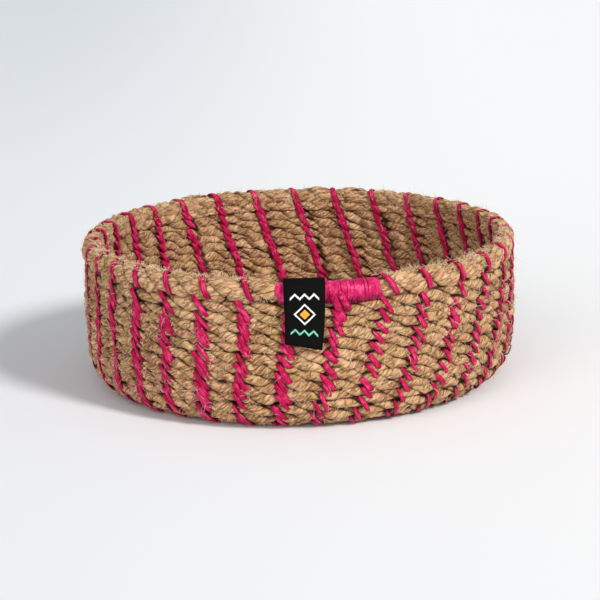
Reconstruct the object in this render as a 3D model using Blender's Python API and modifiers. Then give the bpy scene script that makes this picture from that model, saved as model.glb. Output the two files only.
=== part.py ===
"""Low round basket of coiled rope, sewn with yarn.

One rope is wound flat for the floor, turns up round a rounded heel and climbs the wall course by course.
Rows of yarn stitches hold each course to the one below. A thicker rope lies on top as the rim. Its two
ends overlap in a splice that is bound with yarn, and a woven label is folded over the splice.

Units are metres and +Z is up. The origin is the middle of the underside, on the surface below it.
An azimuth is 0 at the front (-Y) and grows anticlockwise seen from above, towards +X.
The rope is followed by its turns, counted from its start in the middle of the floor, and by its run, the
distance from that start across the courses: over the floor, round the heel and up the wall.
"""

import math

import bpy
from mathutils import Vector
from mathutils.kdtree import KDTree

# Whole basket: across the outside of the wall, and from the surface below to the top of the rim rope
OUTER_DIAMETER = 0.2100
HEIGHT = 0.0700

# Rope of the floor and wall, drawn oval by the sewing: its width goes through the wall.
# The pitch is the tightest one. Courses lie a little wider where the round has one course fewer.
ROPE_WIDTH = 0.0085
COURSE_PITCH = 0.00474
COURSE_GAP = 0.00046
ROPE_FLAT_SHARE = 0.5
EYE_RADIUS = 0.0030
HEEL_INNER_RADIUS = 0.00525
TAIL_TIP_SHARE = 0.22
TAIL_POINTS = 3
LOOP_POINTS = 24
EYE_LOOP_POINTS = 12
EYE_ZONE_RADIUS = 0.052

# The sector under the splice in which each course climbs onto the end of the one below
CLOSING_START = math.radians(-7.5)
CLOSING_ANGLE = math.radians(30.0)

# Rim rope, and where its ends are thinned and bound together
RIM_ROPE_DIAMETER = 0.0086
BOUND_ROPE_DIAMETER = 0.0064
SPLICE_TIP_DIAMETER = 0.0012
SPLICE_GAP = 0.00050
UPPER_END_SHARE = 0.67
BINDING_START = math.radians(-5.6)
BINDING_ANGLE = math.radians(26.2)
BINDING_MARGIN = math.radians(1.3)
BINDING_LOOPS = 20
BINDING_LOOP_POINTS = 8
BINDING_LOOP_GAP = 0.00052
BINDING_CLEARANCE = 0.00045

# Sewing yarn, and the rows of slanting stitches that it makes
YARN_WIDTH = 0.0021
YARN_THICKNESS = 0.0009
YARN_CLEARANCE = 0.00050
ROW_COUNT = 32
ROW_PHASE = math.radians(-0.65)
ROW_DRIFTS = (
    # wander of the rows round the wall: times a round, size, azimuth of its crest
    (1, math.radians(1.85), math.radians(-138.0)),
    (2, math.radians(2.46), math.radians(57.0)),
)
ROW_LEAN = math.radians(0.60)
ROW_LEAN_SWING = math.radians(0.40)
ROW_LEAN_CREST = math.radians(120.0)
STITCH_SLANT = math.radians(0.75)
RIM_STITCH_SLANT = math.radians(1.8)
INSIDE_SLANT = math.radians(0.25)
STITCH_REACH_SHARE = 0.3
HEEL_STITCH_ANGLE = math.radians(30.0)
RIM_TURN_START = math.radians(-30.0)
RIM_TURN_POINTS = 6
FLOOR_STITCH_SHARES = (0.10, 0.62, 0.32, 0.62)

# Label, folded over the splice
LABEL_WIDTH = 0.0190
LABEL_DROP = 0.0330
LABEL_THICKNESS = 0.0006
LABEL_AZIMUTH = math.radians(1.1)
LABEL_CURL = 0.0007
LABEL_FLAP_POINTS = 6
LABEL_FOLD_POINTS = 12

# Clearance between pieces that lie on each other
SEAT_GAP = 0.0003

# Settings of the calculations, and the unit of the printed gaps
ROW_REFINEMENTS = 3
NEIGHBOUR_POINTS = 4
MILLIMETRE = 0.001

# Sizes worked out from these
WALL_RADIUS = (OUTER_DIAMETER - ROPE_WIDTH) / 2
HEEL_RADIUS = HEEL_INNER_RADIUS + ROPE_WIDTH / 2
FLOOR_LEVEL = ROPE_WIDTH / 2
ROPE_HEIGHT = COURSE_PITCH - COURSE_GAP
HEEL_LIFT = ROPE_HEIGHT * ROPE_FLAT_SHARE / 2
FLOOR_RUN = WALL_RADIUS - HEEL_RADIUS - EYE_RADIUS
HEEL_RUN = HEEL_RADIUS * math.pi / 2
RIM_RADIUS = RIM_ROPE_DIAMETER / 2
RIM_LEVEL = HEIGHT - RIM_RADIUS
TOP_COURSE_LEVEL = RIM_LEVEL - RIM_RADIUS - COURSE_GAP - ROPE_HEIGHT / 2
WALL_RUN = TOP_COURSE_LEVEL - FLOOR_LEVEL - HEEL_LIFT - HEEL_RADIUS
WHOLE_RUN = FLOOR_RUN + HEEL_RUN + WALL_RUN
LEVEL_SHARE = 1 - CLOSING_ANGLE / math.tau
COURSES = int(WHOLE_RUN / COURSE_PITCH - LEVEL_SHARE)
BOUND_RADIUS = BOUND_ROPE_DIAMETER / 2
BINDING_RADIUS = (BOUND_RADIUS + BINDING_CLEARANCE) / math.cos(math.pi / BINDING_LOOP_POINTS)
BINDING_OUTER_RADIUS = BINDING_RADIUS + YARN_THICKNESS
SPLICE_LEVEL = TOP_COURSE_LEVEL + ROPE_HEIGHT / 2 + SEAT_GAP + BINDING_OUTER_RADIUS
YARN_OFFSET = ROPE_WIDTH / 2 + YARN_CLEARANCE


def clear_scene():
    """Start from an empty scene."""
    for old in list(bpy.data.objects):
        bpy.data.objects.remove(old)


def new_collection(name):
    collection = bpy.data.collections.new(name)
    bpy.context.scene.collection.children.link(collection)
    return collection


def principled(name, colour, roughness, sheen=0.0):
    material = bpy.data.materials.new(name)
    material.use_nodes = True
    shader = material.node_tree.nodes["Principled BSDF"]
    shader.inputs["Base Color"].default_value = (*colour, 1)
    shader.inputs["Roughness"].default_value = roughness
    shader.inputs["Metallic"].default_value = 0
    shader.inputs["Sheen Weight"].default_value = sheen
    return material


def rope_material():
    """Light brown plant fibre, dull."""
    return principled("rope", (0.58, 0.38, 0.18), 0.92, 0.2)


def rim_rope_material():
    """The same fibre, a little paler where it isn't pressed."""
    return principled("rim_rope", (0.62, 0.42, 0.21), 0.95, 0.2)


def yarn_material():
    """Deep pink yarn with a soft shine."""
    return principled("yarn", (0.75, 0.02, 0.16), 0.45)


def binding_material():
    """The same yarn, tighter and shinier in the binding."""
    return principled("binding_yarn", (0.78, 0.03, 0.19), 0.38)


def label_material():
    """Black woven tape."""
    return principled("label_tape", (0.012, 0.012, 0.012), 0.8)


def section_guide(name, corners, collection):
    """A closed flat outline, drawn clockwise, that a tube follows: +X is the tube's right, +Y its top."""
    curve = bpy.data.curves.new(name, "CURVE")
    curve.dimensions = "2D"
    spline = curve.splines.new("POLY")
    spline.points.add(len(corners) - 1)
    for point, (across, up) in zip(spline.points, corners):
        point.co = (across, up, 0, 1)
    spline.use_cyclic_u = True
    guide = bpy.data.objects.new(name, curve)
    guide.hide_render = True
    guide.display_type = "WIRE"
    collection.objects.link(guide)
    return guide


def rope_section(collection):
    """Six-sided oval whose flat sides face in and out, and down on the floor."""
    half_width = ROPE_WIDTH / 2
    half_height = ROPE_HEIGHT / 2
    half_flat = half_height * ROPE_FLAT_SHARE
    corners = [
        (0, half_height), (half_width, half_flat), (half_width, -half_flat),
        (0, -half_height), (-half_width, -half_flat), (-half_width, half_flat),
    ]
    return section_guide("rope_section", corners, collection)


def yarn_section(name, width, collection):
    """Flat side on the rope, with a ridge along the middle of the free side."""
    corners = [(0, width / 2), (YARN_THICKNESS, 0), (0, -width / 2)]
    return section_guide(name, corners, collection)


def tube(name, points, material, collection, section=None, radius=0.0, tilts=None, scales=None):
    """A closed tube on a path of straight stretches, round or with the outline of a section guide."""
    curve = bpy.data.curves.new(name, "CURVE")
    curve.dimensions = "3D"
    curve.twist_mode = "Z_UP"
    curve.use_fill_caps = True
    if section:
        curve.bevel_mode = "OBJECT"
        curve.bevel_object = section
    else:
        curve.bevel_depth = radius
        curve.bevel_resolution = 2
    spline = curve.splines.new("POLY")
    spline.points.add(len(points) - 1)
    for index, point in enumerate(spline.points):
        point.co = (*points[index], 1)
        point.tilt = tilts[index] if tilts else 0
        point.radius = scales[index] if scales else 1
    curve.materials.append(material)
    piece = bpy.data.objects.new(name, curve)
    collection.objects.link(piece)
    return piece


def on_round(radius, azimuth, height):
    """A point at an azimuth, in world coordinates."""
    return Vector((radius * math.sin(azimuth), -radius * math.cos(azimuth), height))


def azimuth_at(turns):
    """Where the rope is round the basket after so many turns."""
    return CLOSING_START + CLOSING_ANGLE + math.tau * turns


def turn_part(azimuth):
    """Share of a turn between the end of the closing sector and an azimuth."""
    return (azimuth - CLOSING_START - CLOSING_ANGLE) / math.tau % 1


def closing_share(part):
    """Share of one more course that lies below the rim: it grows round the basket and the sector takes it back."""
    if part <= LEVEL_SHARE:
        return part
    return LEVEL_SHARE * (1 - part) / (1 - LEVEL_SHARE)


def run_at(turns):
    """How far across the courses the rope has come. The top course is level all round, outside the sector."""
    return WHOLE_RUN * turns / (COURSES + closing_share(turns % 1))


def profile_at(run, offset=0.0):
    """Radius, height and steepness of the rope's middle line at a run, or beside it: + is outside.

    The heel is lifted as it steepens, so that the edges of its flat underside stay off the ground.
    """
    steepness = min(max((run - FLOOR_RUN) / HEEL_RADIUS, 0), math.pi / 2)
    radius = EYE_RADIUS + min(run, FLOOR_RUN) + (HEEL_RADIUS + offset) * math.sin(steepness)
    height = FLOOR_LEVEL + HEEL_RADIUS - (HEEL_RADIUS + offset) * math.cos(steepness)
    height += HEEL_LIFT * math.sin(steepness) + max(run - FLOOR_RUN - HEEL_RUN, 0)
    return radius, height, steepness


def chord_share(azimuth, points=LOOP_POINTS):
    """Radius of a many-sided loop at an azimuth, as a share of the radius at its corners."""
    step = 1 / points
    past_middle = turn_part(azimuth) % step - step / 2
    return math.cos(math.pi * step) / math.cos(math.tau * past_middle)


def rope_points(turns_list):
    """Path points and tilts of the floor and wall rope: the wide axis is upright on the floor, level in the wall."""
    points = []
    tilts = []
    for turns in turns_list:
        radius, height, steepness = profile_at(run_at(turns))
        azimuth = azimuth_at(turns)
        points.append(on_round(radius * chord_share(azimuth), azimuth, height))
        tilts.append(math.pi / 2 - steepness)
    return points, tilts


def ring_turns(first, last, points=LOOP_POINTS):
    """Turns of the corners between two places on the rope, with both ends."""
    inner = range(math.floor(first * points) + 1, math.ceil(last * points))
    return [first] + [ring / points for ring in inner] + [last]


def split_turns():
    """Where floor and wall are divided: in the middle of the straight stretch nearest the start of the heel."""
    share = FLOOR_RUN / WHOLE_RUN * COURSES
    return (math.floor(share * LOOP_POINTS) + 1 / 2) / LOOP_POINTS


def seam_share():
    """Half the gap at the division of floor and wall, in turns."""
    return SEAT_GAP / 2 / (math.tau * (WALL_RADIUS - HEEL_RADIUS))


def make_floor_coil(section, collection):
    """Flat spiral of rope from the middle to the start of the heel, with fewer points on its small loops."""
    zone_end = math.floor(EYE_ZONE_RADIUS / WHOLE_RUN * COURSES)
    turns_list = ring_turns(0, zone_end, EYE_LOOP_POINTS)
    turns_list += ring_turns(zone_end, split_turns() - seam_share())[1:]
    points, tilts = rope_points(turns_list)
    return tube("floor_coil", points, rope_material(), collection, section, tilts=tilts), points


def make_wall_coil(section, collection):
    """Courses of the heel and wall, ending in a tail that thins out on top of the course below it."""
    top = COURSES + LEVEL_SHARE
    turns_list = ring_turns(split_turns() + seam_share(), top)
    points, tilts = rope_points(turns_list)
    scales = [1] * len(points)
    for step in range(1, TAIL_POINTS + 1):
        passed = step / (TAIL_POINTS + 1)
        scale = 1 - (1 - TAIL_TIP_SHARE) * step / TAIL_POINTS
        azimuth = azimuth_at(top) + CLOSING_ANGLE * passed
        height = TOP_COURSE_LEVEL + ROPE_HEIGHT * (1 - scale) / 2
        points.append(on_round(WALL_RADIUS * chord_share(azimuth), azimuth, height))
        tilts.append(0)
        scales.append(scale)
    coil = tube("wall_coil", points, rope_material(), collection, section, tilts=tilts, scales=scales)
    return coil, points


def splice_radii(passed):
    """Radii of the two thinned ends of the rim rope, one lying on the other, part way along the splice."""
    tip = SPLICE_TIP_DIAMETER / 2
    lower = tip + (BOUND_RADIUS - tip) * passed
    upper = BOUND_RADIUS - SPLICE_GAP / 2 - lower
    return lower, upper


def make_rim_rope(collection):
    """One loop of thick rope whose ends thin out over each other inside the binding."""
    places = []
    for passed in (0, 1 / 2, 1):
        lower, _ = splice_radii(passed)
        places.append((BINDING_START + BINDING_ANGLE * passed, SPLICE_LEVEL - BOUND_RADIUS + lower, lower))
    after = BINDING_START + BINDING_ANGLE + BINDING_MARGIN
    places.append((after, SPLICE_LEVEL, BOUND_RADIUS))
    places.append((after + BINDING_MARGIN, RIM_LEVEL, RIM_RADIUS))
    round_again = BINDING_START + math.tau
    corner = CLOSING_START + CLOSING_ANGLE + math.tau / LOOP_POINTS
    while corner < round_again - 2 * BINDING_MARGIN:
        places.append((corner, RIM_LEVEL, RIM_RADIUS))
        corner += math.tau / LOOP_POINTS
    places.append((round_again - 2 * BINDING_MARGIN, RIM_LEVEL, RIM_RADIUS))
    places.append((round_again - BINDING_MARGIN, SPLICE_LEVEL, BOUND_RADIUS))
    for passed in (0, UPPER_END_SHARE / 2, UPPER_END_SHARE):
        _, upper = splice_radii(passed)
        places.append((round_again + BINDING_ANGLE * passed, SPLICE_LEVEL + BOUND_RADIUS - upper, upper))
    points = [on_round(WALL_RADIUS * chord_share(azimuth), azimuth, level) for azimuth, level, _ in places]
    scales = [radius / RIM_RADIUS for _, _, radius in places]
    rope = tube("rim_rope", points, rim_rope_material(), collection, radius=RIM_RADIUS, scales=scales)
    return rope, points


def make_rim_binding(collection, guides):
    """Yarn wound tightly round the splice, made in a frame whose Z lies along the rim."""
    middle = BINDING_START + BINDING_ANGLE / 2
    length = BINDING_ANGLE * WALL_RADIUS
    section = yarn_section("binding_section", length / BINDING_LOOPS - BINDING_LOOP_GAP, guides)
    points = []
    count = BINDING_LOOPS * BINDING_LOOP_POINTS
    for index in range(count + 1):
        around = math.tau * (index + 1 / 2) / BINDING_LOOP_POINTS
        away = BINDING_ANGLE * (index / count - 1 / 2)
        radius = WALL_RADIUS * chord_share(middle + away) + BINDING_RADIUS * math.cos(around)
        height = SPLICE_LEVEL + BINDING_RADIUS * math.sin(around)
        points.append(in_row_frame(radius, away, height))
    binding = tube("rim_binding", points, binding_material(), collection, section)
    place_in_row_frame(binding, middle)
    return binding, points


def in_row_frame(radius, away, height):
    """A point in the frame of one row: X is out from the axis, Y is up and Z is clockwise round the basket."""
    return Vector((radius * math.cos(away), height, -radius * math.sin(away)))


def place_in_row_frame(piece, azimuth):
    piece.rotation_euler = (math.pi / 2, 0, azimuth - math.pi / 2)


def row_azimuth(index):
    """Azimuth of a row at the rim, with the wander of sewing by eye."""
    even = math.tau * index / ROW_COUNT
    drift = sum(size * math.cos(times * (even - crest)) for times, size, crest in ROW_DRIFTS)
    return ROW_PHASE + even + drift


def row_lean(azimuth):
    """How far a row moves round per course."""
    return ROW_LEAN + ROW_LEAN_SWING * math.cos(azimuth - ROW_LEAN_CREST)


class Row:
    """One row of stitches: its azimuth at every height, and the courses that it crosses."""

    def __init__(self, index):
        self.top = row_azimuth(index)
        self.lean = row_lean(self.top)
        self.middle = self.top - self.lean * (WALL_RUN + HEEL_RUN) / COURSE_PITCH / 2
        self.floor_share = FLOOR_STITCH_SHARES[index % len(FLOOR_STITCH_SHARES)]
        past_start = (self.top - BINDING_START + BINDING_MARGIN) % math.tau
        self.bound = past_start < BINDING_ANGLE + 2 * BINDING_MARGIN

    def azimuth(self, run):
        return self.top - self.lean * (WHOLE_RUN - max(run, FLOOR_RUN)) / COURSE_PITCH

    def course_runs(self):
        """Runs of the courses that the row crosses, from the heel up."""
        runs = []
        for whole_turns in range(COURSES + 1):
            run = WHOLE_RUN * whole_turns / COURSES
            for _ in range(ROW_REFINEMENTS):
                run = run_at(whole_turns + turn_part(self.azimuth(run)))
            if run < WHOLE_RUN + COURSE_GAP:
                runs.append(run)
        return runs

    def point(self, run, offset, slant):
        """A point beside the rope's middle line, in the row's frame."""
        radius, height, _ = profile_at(run, offset)
        azimuth = self.azimuth(run)
        share = chord_share(azimuth + slant)
        straight = (radius - offset_radius(run, offset)) * share + offset_radius(run, offset)
        return in_row_frame(straight, azimuth + slant - self.middle, height)


def offset_radius(run, offset):
    """The part of a point's radius that comes from its offset."""
    return profile_at(run, offset)[0] - profile_at(run)[0]


def outside_points(row):
    """A slanting bar across each course, from the heel to the top course, with a short step between bars."""
    reach = COURSE_PITCH * STITCH_REACH_SHARE
    points = []
    for run in row.course_runs():
        if run - reach > FLOOR_RUN + HEEL_RADIUS * HEEL_STITCH_ANGLE:
            points.append(row.point(run - reach, YARN_OFFSET, STITCH_SLANT))
            points.append(row.point(run + reach, YARN_OFFSET, -STITCH_SLANT))
    if row.bound:
        points.append(row.point(WHOLE_RUN + reach, YARN_OFFSET, 0))
    return points


def over_rim_points(row):
    """Over the rim rope from outside to inside, leaning the same way."""
    radius = RIM_RADIUS + YARN_CLEARANCE
    step = (math.pi - 2 * RIM_TURN_START) / (RIM_TURN_POINTS - 1)
    radius /= math.cos(step / 2)
    points = []
    for index in range(RIM_TURN_POINTS):
        around = RIM_TURN_START + step * index
        slant = RIM_STITCH_SLANT * (1 - 2 * index / (RIM_TURN_POINTS - 1))
        share = chord_share(row.top + slant)
        out = WALL_RADIUS * share + radius * math.cos(around)
        points.append(in_row_frame(out, row.top + slant - row.middle, RIM_LEVEL + radius * math.sin(around)))
    return points


def inside_points(row):
    """Down the inside on every second course, round the heel and in across the floor."""
    reach = COURSE_PITCH * STITCH_REACH_SHARE
    points = []
    if row.bound:
        points.append(row.point(WHOLE_RUN + reach, -YARN_OFFSET, 0))
    wall_runs = [run for run in row.course_runs() if run > FLOOR_RUN + HEEL_RUN]
    for place, run in enumerate(reversed(wall_runs)):
        if place % 2 == 0:
            slant = INSIDE_SLANT * (1 - place % 4)
            points.append(row.point(run, -YARN_OFFSET, slant))
    for passed in (1 / 2, 0):
        points.append(row.point(FLOOR_RUN + HEEL_RUN * passed, -YARN_OFFSET, 0))
    points.append(row.point(FLOOR_RUN * row.floor_share, -YARN_OFFSET, 0))
    return points


def make_stitch_rows(section, material, collection):
    """Every row is one strand. Under the binding it is two, one outside and one inside."""
    rows = []
    for index in range(ROW_COUNT):
        row = Row(index)
        name = f"stitch_row_{index + 1:02d}"
        if row.bound:
            strands = {f"{name}_outside": outside_points(row), f"{name}_inside": inside_points(row)}
        else:
            strands = {name: outside_points(row) + over_rim_points(row) + inside_points(row)}
        for strand_name, points in strands.items():
            strand = tube(strand_name, points, material, collection, section)
            place_in_row_frame(strand, row.middle)
            rows.append(strand)
    return rows


def label_outline():
    """Side view of the folded tape's inner face, as distance from the axis and height, from outside to inside."""
    sagitta_share = math.cos(LABEL_WIDTH / 2 / WALL_RADIUS)
    yarn_top = YARN_OFFSET + YARN_THICKNESS + SEAT_GAP
    outside = WALL_RADIUS + yarn_top
    inside = (WALL_RADIUS * math.cos(math.pi / LOOP_POINTS) - yarn_top) * sagitta_share
    middle = (outside + inside) / 2
    half = (outside - inside) / 2
    rise = BINDING_OUTER_RADIUS + SEAT_GAP
    bottom = SPLICE_LEVEL + rise - LABEL_DROP
    outline = []
    for index in range(LABEL_FLAP_POINTS):
        passed = index / LABEL_FLAP_POINTS
        curl = LABEL_CURL * (1 - passed) ** 2
        outline.append((outside + curl, bottom + (SPLICE_LEVEL - bottom) * passed))
    for index in range(LABEL_FOLD_POINTS + 1):
        around = math.pi * index / LABEL_FOLD_POINTS
        outline.append((middle + half * math.cos(around), SPLICE_LEVEL + rise * math.sin(around)))
    for index in range(1, LABEL_FLAP_POINTS + 1):
        passed = index / LABEL_FLAP_POINTS
        outline.append((inside, SPLICE_LEVEL - (SPLICE_LEVEL - bottom) * passed))
    return outline


def make_label(collection):
    """Strip of woven tape folded over the binding, with its wall given by Solidify."""
    mesh = bpy.data.meshes.new("label")
    outline = label_outline()
    vertices = []
    for out, height in outline:
        vertices.append((out, height, -LABEL_WIDTH / 2))
        vertices.append((out, height, LABEL_WIDTH / 2))
    faces = []
    for index in range(len(outline) - 1):
        start = 2 * index
        faces.append((start, start + 2, start + 3, start + 1))
    mesh.from_pydata(vertices, [], faces)
    mesh.materials.append(label_material())
    label = bpy.data.objects.new("label", mesh)
    collection.objects.link(label)
    place_in_row_frame(label, LABEL_AZIMUTH)
    wall = label.modifiers.new("tape thickness", "SOLIDIFY")
    wall.thickness = LABEL_THICKNESS
    wall.offset = 1
    return label


def print_least_gap(piece, points):
    """Least distance between the surfaces of neighbouring loops, over the corners of the tube.

    Corners whose path points are fewer than NEIGHBOUR_POINTS apart belong to the same loop.
    """
    evaluated = piece.evaluated_get(bpy.context.evaluated_depsgraph_get())
    mesh = evaluated.to_mesh()
    tree = KDTree(len(points))
    for index, point in enumerate(points):
        tree.insert(point, index)
    tree.balance()
    corners = [(vertex.co.copy(), tree.find(vertex.co)[1]) for vertex in mesh.vertices]
    places = KDTree(len(corners))
    for index, (corner, _) in enumerate(corners):
        places.insert(corner, index)
    places.balance()
    least = math.inf
    for corner, ring in corners:
        for _, other, distance in places.find_range(corner, COURSE_PITCH):
            if abs(corners[other][1] - ring) >= NEIGHBOUR_POINTS:
                least = min(least, distance)
    evaluated.to_mesh_clear()
    print(f"{piece.name}: least gap between loops {least / MILLIMETRE:.2f} mm on {len(points)} points")


def main():
    clear_scene()
    basket = new_collection("coiled_basket")
    guides = new_collection("guides")
    rope = rope_section(guides)
    yarn = yarn_section("yarn_section", YARN_WIDTH, guides)
    coils = [
        make_floor_coil(rope, basket),
        make_wall_coil(rope, basket),
        make_rim_rope(basket),
        make_rim_binding(basket, guides),
    ]
    make_stitch_rows(yarn, yarn_material(), basket)
    make_label(basket)
    bpy.context.view_layer.update()
    for piece, points in coils:
        print_least_gap(piece, points)


main()
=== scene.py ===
"""Looks of a low round basket of coiled jute rope that is sewn with pink yarn.

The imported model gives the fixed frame. Each class below builds and dresses one kind of piece around it:
the two-ply rope of the floor and wall, the thicker rim rope, the rows of stitches, the binding, the folded
label, the loose fibres, and the studio. Units are metres. An azimuth is 0 at the front (-Y) and grows
anticlockwise seen from above. The rope is followed by its turns from the middle of the floor, and by its
run across the courses: over the floor, round the heel and up the wall.
"""

import logging
import math
import random
from dataclasses import dataclass
from enum import Enum, IntEnum
from itertools import accumulate

import bmesh
import bpy
import numpy as np
from mathutils import Matrix, Vector


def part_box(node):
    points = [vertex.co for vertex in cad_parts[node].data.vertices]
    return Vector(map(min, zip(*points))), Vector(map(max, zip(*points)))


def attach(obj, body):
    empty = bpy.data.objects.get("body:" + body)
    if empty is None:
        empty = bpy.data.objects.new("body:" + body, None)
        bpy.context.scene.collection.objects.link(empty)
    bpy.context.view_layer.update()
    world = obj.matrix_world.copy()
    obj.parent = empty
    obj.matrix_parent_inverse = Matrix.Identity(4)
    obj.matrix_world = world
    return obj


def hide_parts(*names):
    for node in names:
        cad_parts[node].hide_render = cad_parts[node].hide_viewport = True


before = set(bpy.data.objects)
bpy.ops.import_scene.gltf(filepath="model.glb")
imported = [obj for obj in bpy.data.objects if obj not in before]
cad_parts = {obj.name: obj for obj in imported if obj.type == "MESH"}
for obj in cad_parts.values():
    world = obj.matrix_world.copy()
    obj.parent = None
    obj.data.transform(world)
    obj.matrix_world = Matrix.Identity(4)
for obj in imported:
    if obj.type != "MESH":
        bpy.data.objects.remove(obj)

BODY = "root"
LOG = logging.getLogger("basket")
Array = np.ndarray
Socket = bpy.types.NodeSocket
Mesh = bpy.types.Mesh
Material = bpy.types.Material
Piece = bpy.types.Object
Strand = list[tuple[Vector, float]]


class Slot(Enum):
    """Names of material slots, listed beside the loose fibres' finishes; nothing reads them."""

    ROPE = "rope"
    RIM_ROPE = "rim_rope"
    YARN = "yarn"
    BINDING = "binding_yarn"
    LABEL = "label_tape"


class Side(Enum):
    """The two faces of the wall and floor, as the sign of an offset from the rope's middle line."""

    OUTSIDE = 1
    INSIDE = -1


class Seed(IntEnum):
    """Starts of the random draws, one for each kind of unevenness."""

    LOOSE_FIBRES = 9
    COIL_BULK = 11
    COIL_PLY_BULK = 12
    COIL_LEVEL = 13
    COIL_PINCH = 14
    COIL_TWIST = 15
    COIL_CREASE = 16
    COIL_GAP = 17
    COIL_FIBRES = 31
    RIM_BULK = 41
    RIM_PLY_BULK = 42
    RIM_RADIUS = 44
    RIM_LEVEL = 45
    RIM_FOLD = 46
    RIM_FIBRES = 47
    RIM_GROOVE = 48
    BROAD_TURNS = 70
    BINDING_SHADE = 71
    FINE_TURNS = 77
    HAND = 83
    FIRST_ROW = 500


def srgb(red: int, green: int, blue: int) -> tuple[float, float, float, float]:
    """Turn a screen colour of 0 to 255 into the linear colour that a shader takes.

    Args:
        red: Red of the screen colour.
        green: Green of the screen colour.
        blue: Blue of the screen colour.

    Returns:
        Linear red, green, blue and an alpha of 1.
    """
    linear = []
    for value in (red, green, blue):
        share = value / 255
        linear.append(share / 12.92 if share <= 0.04045 else ((share + 0.055) / 1.055) ** 2.4)
    return (*linear, 1.0)


def wander(seed: int, step: float, place: Array) -> Array:
    """Repeatable unevenness along a line: random values at even steps, with soft changes between them.

    Args:
        seed: Start of the random draw.
        step: Distance between two values.
        place: Distances along the line.

    Returns:
        One value for each place, from -1 to 1.
    """
    values = np.random.default_rng(seed).uniform(-1, 1, 4096)
    position = np.asarray(place, float) / step
    whole = np.floor(position).astype(int)
    part = position - whole
    soft = part * part * (3 - 2 * part)
    return values[whole % len(values)] * (1 - soft) + values[(whole + 1) % len(values)] * soft


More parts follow.
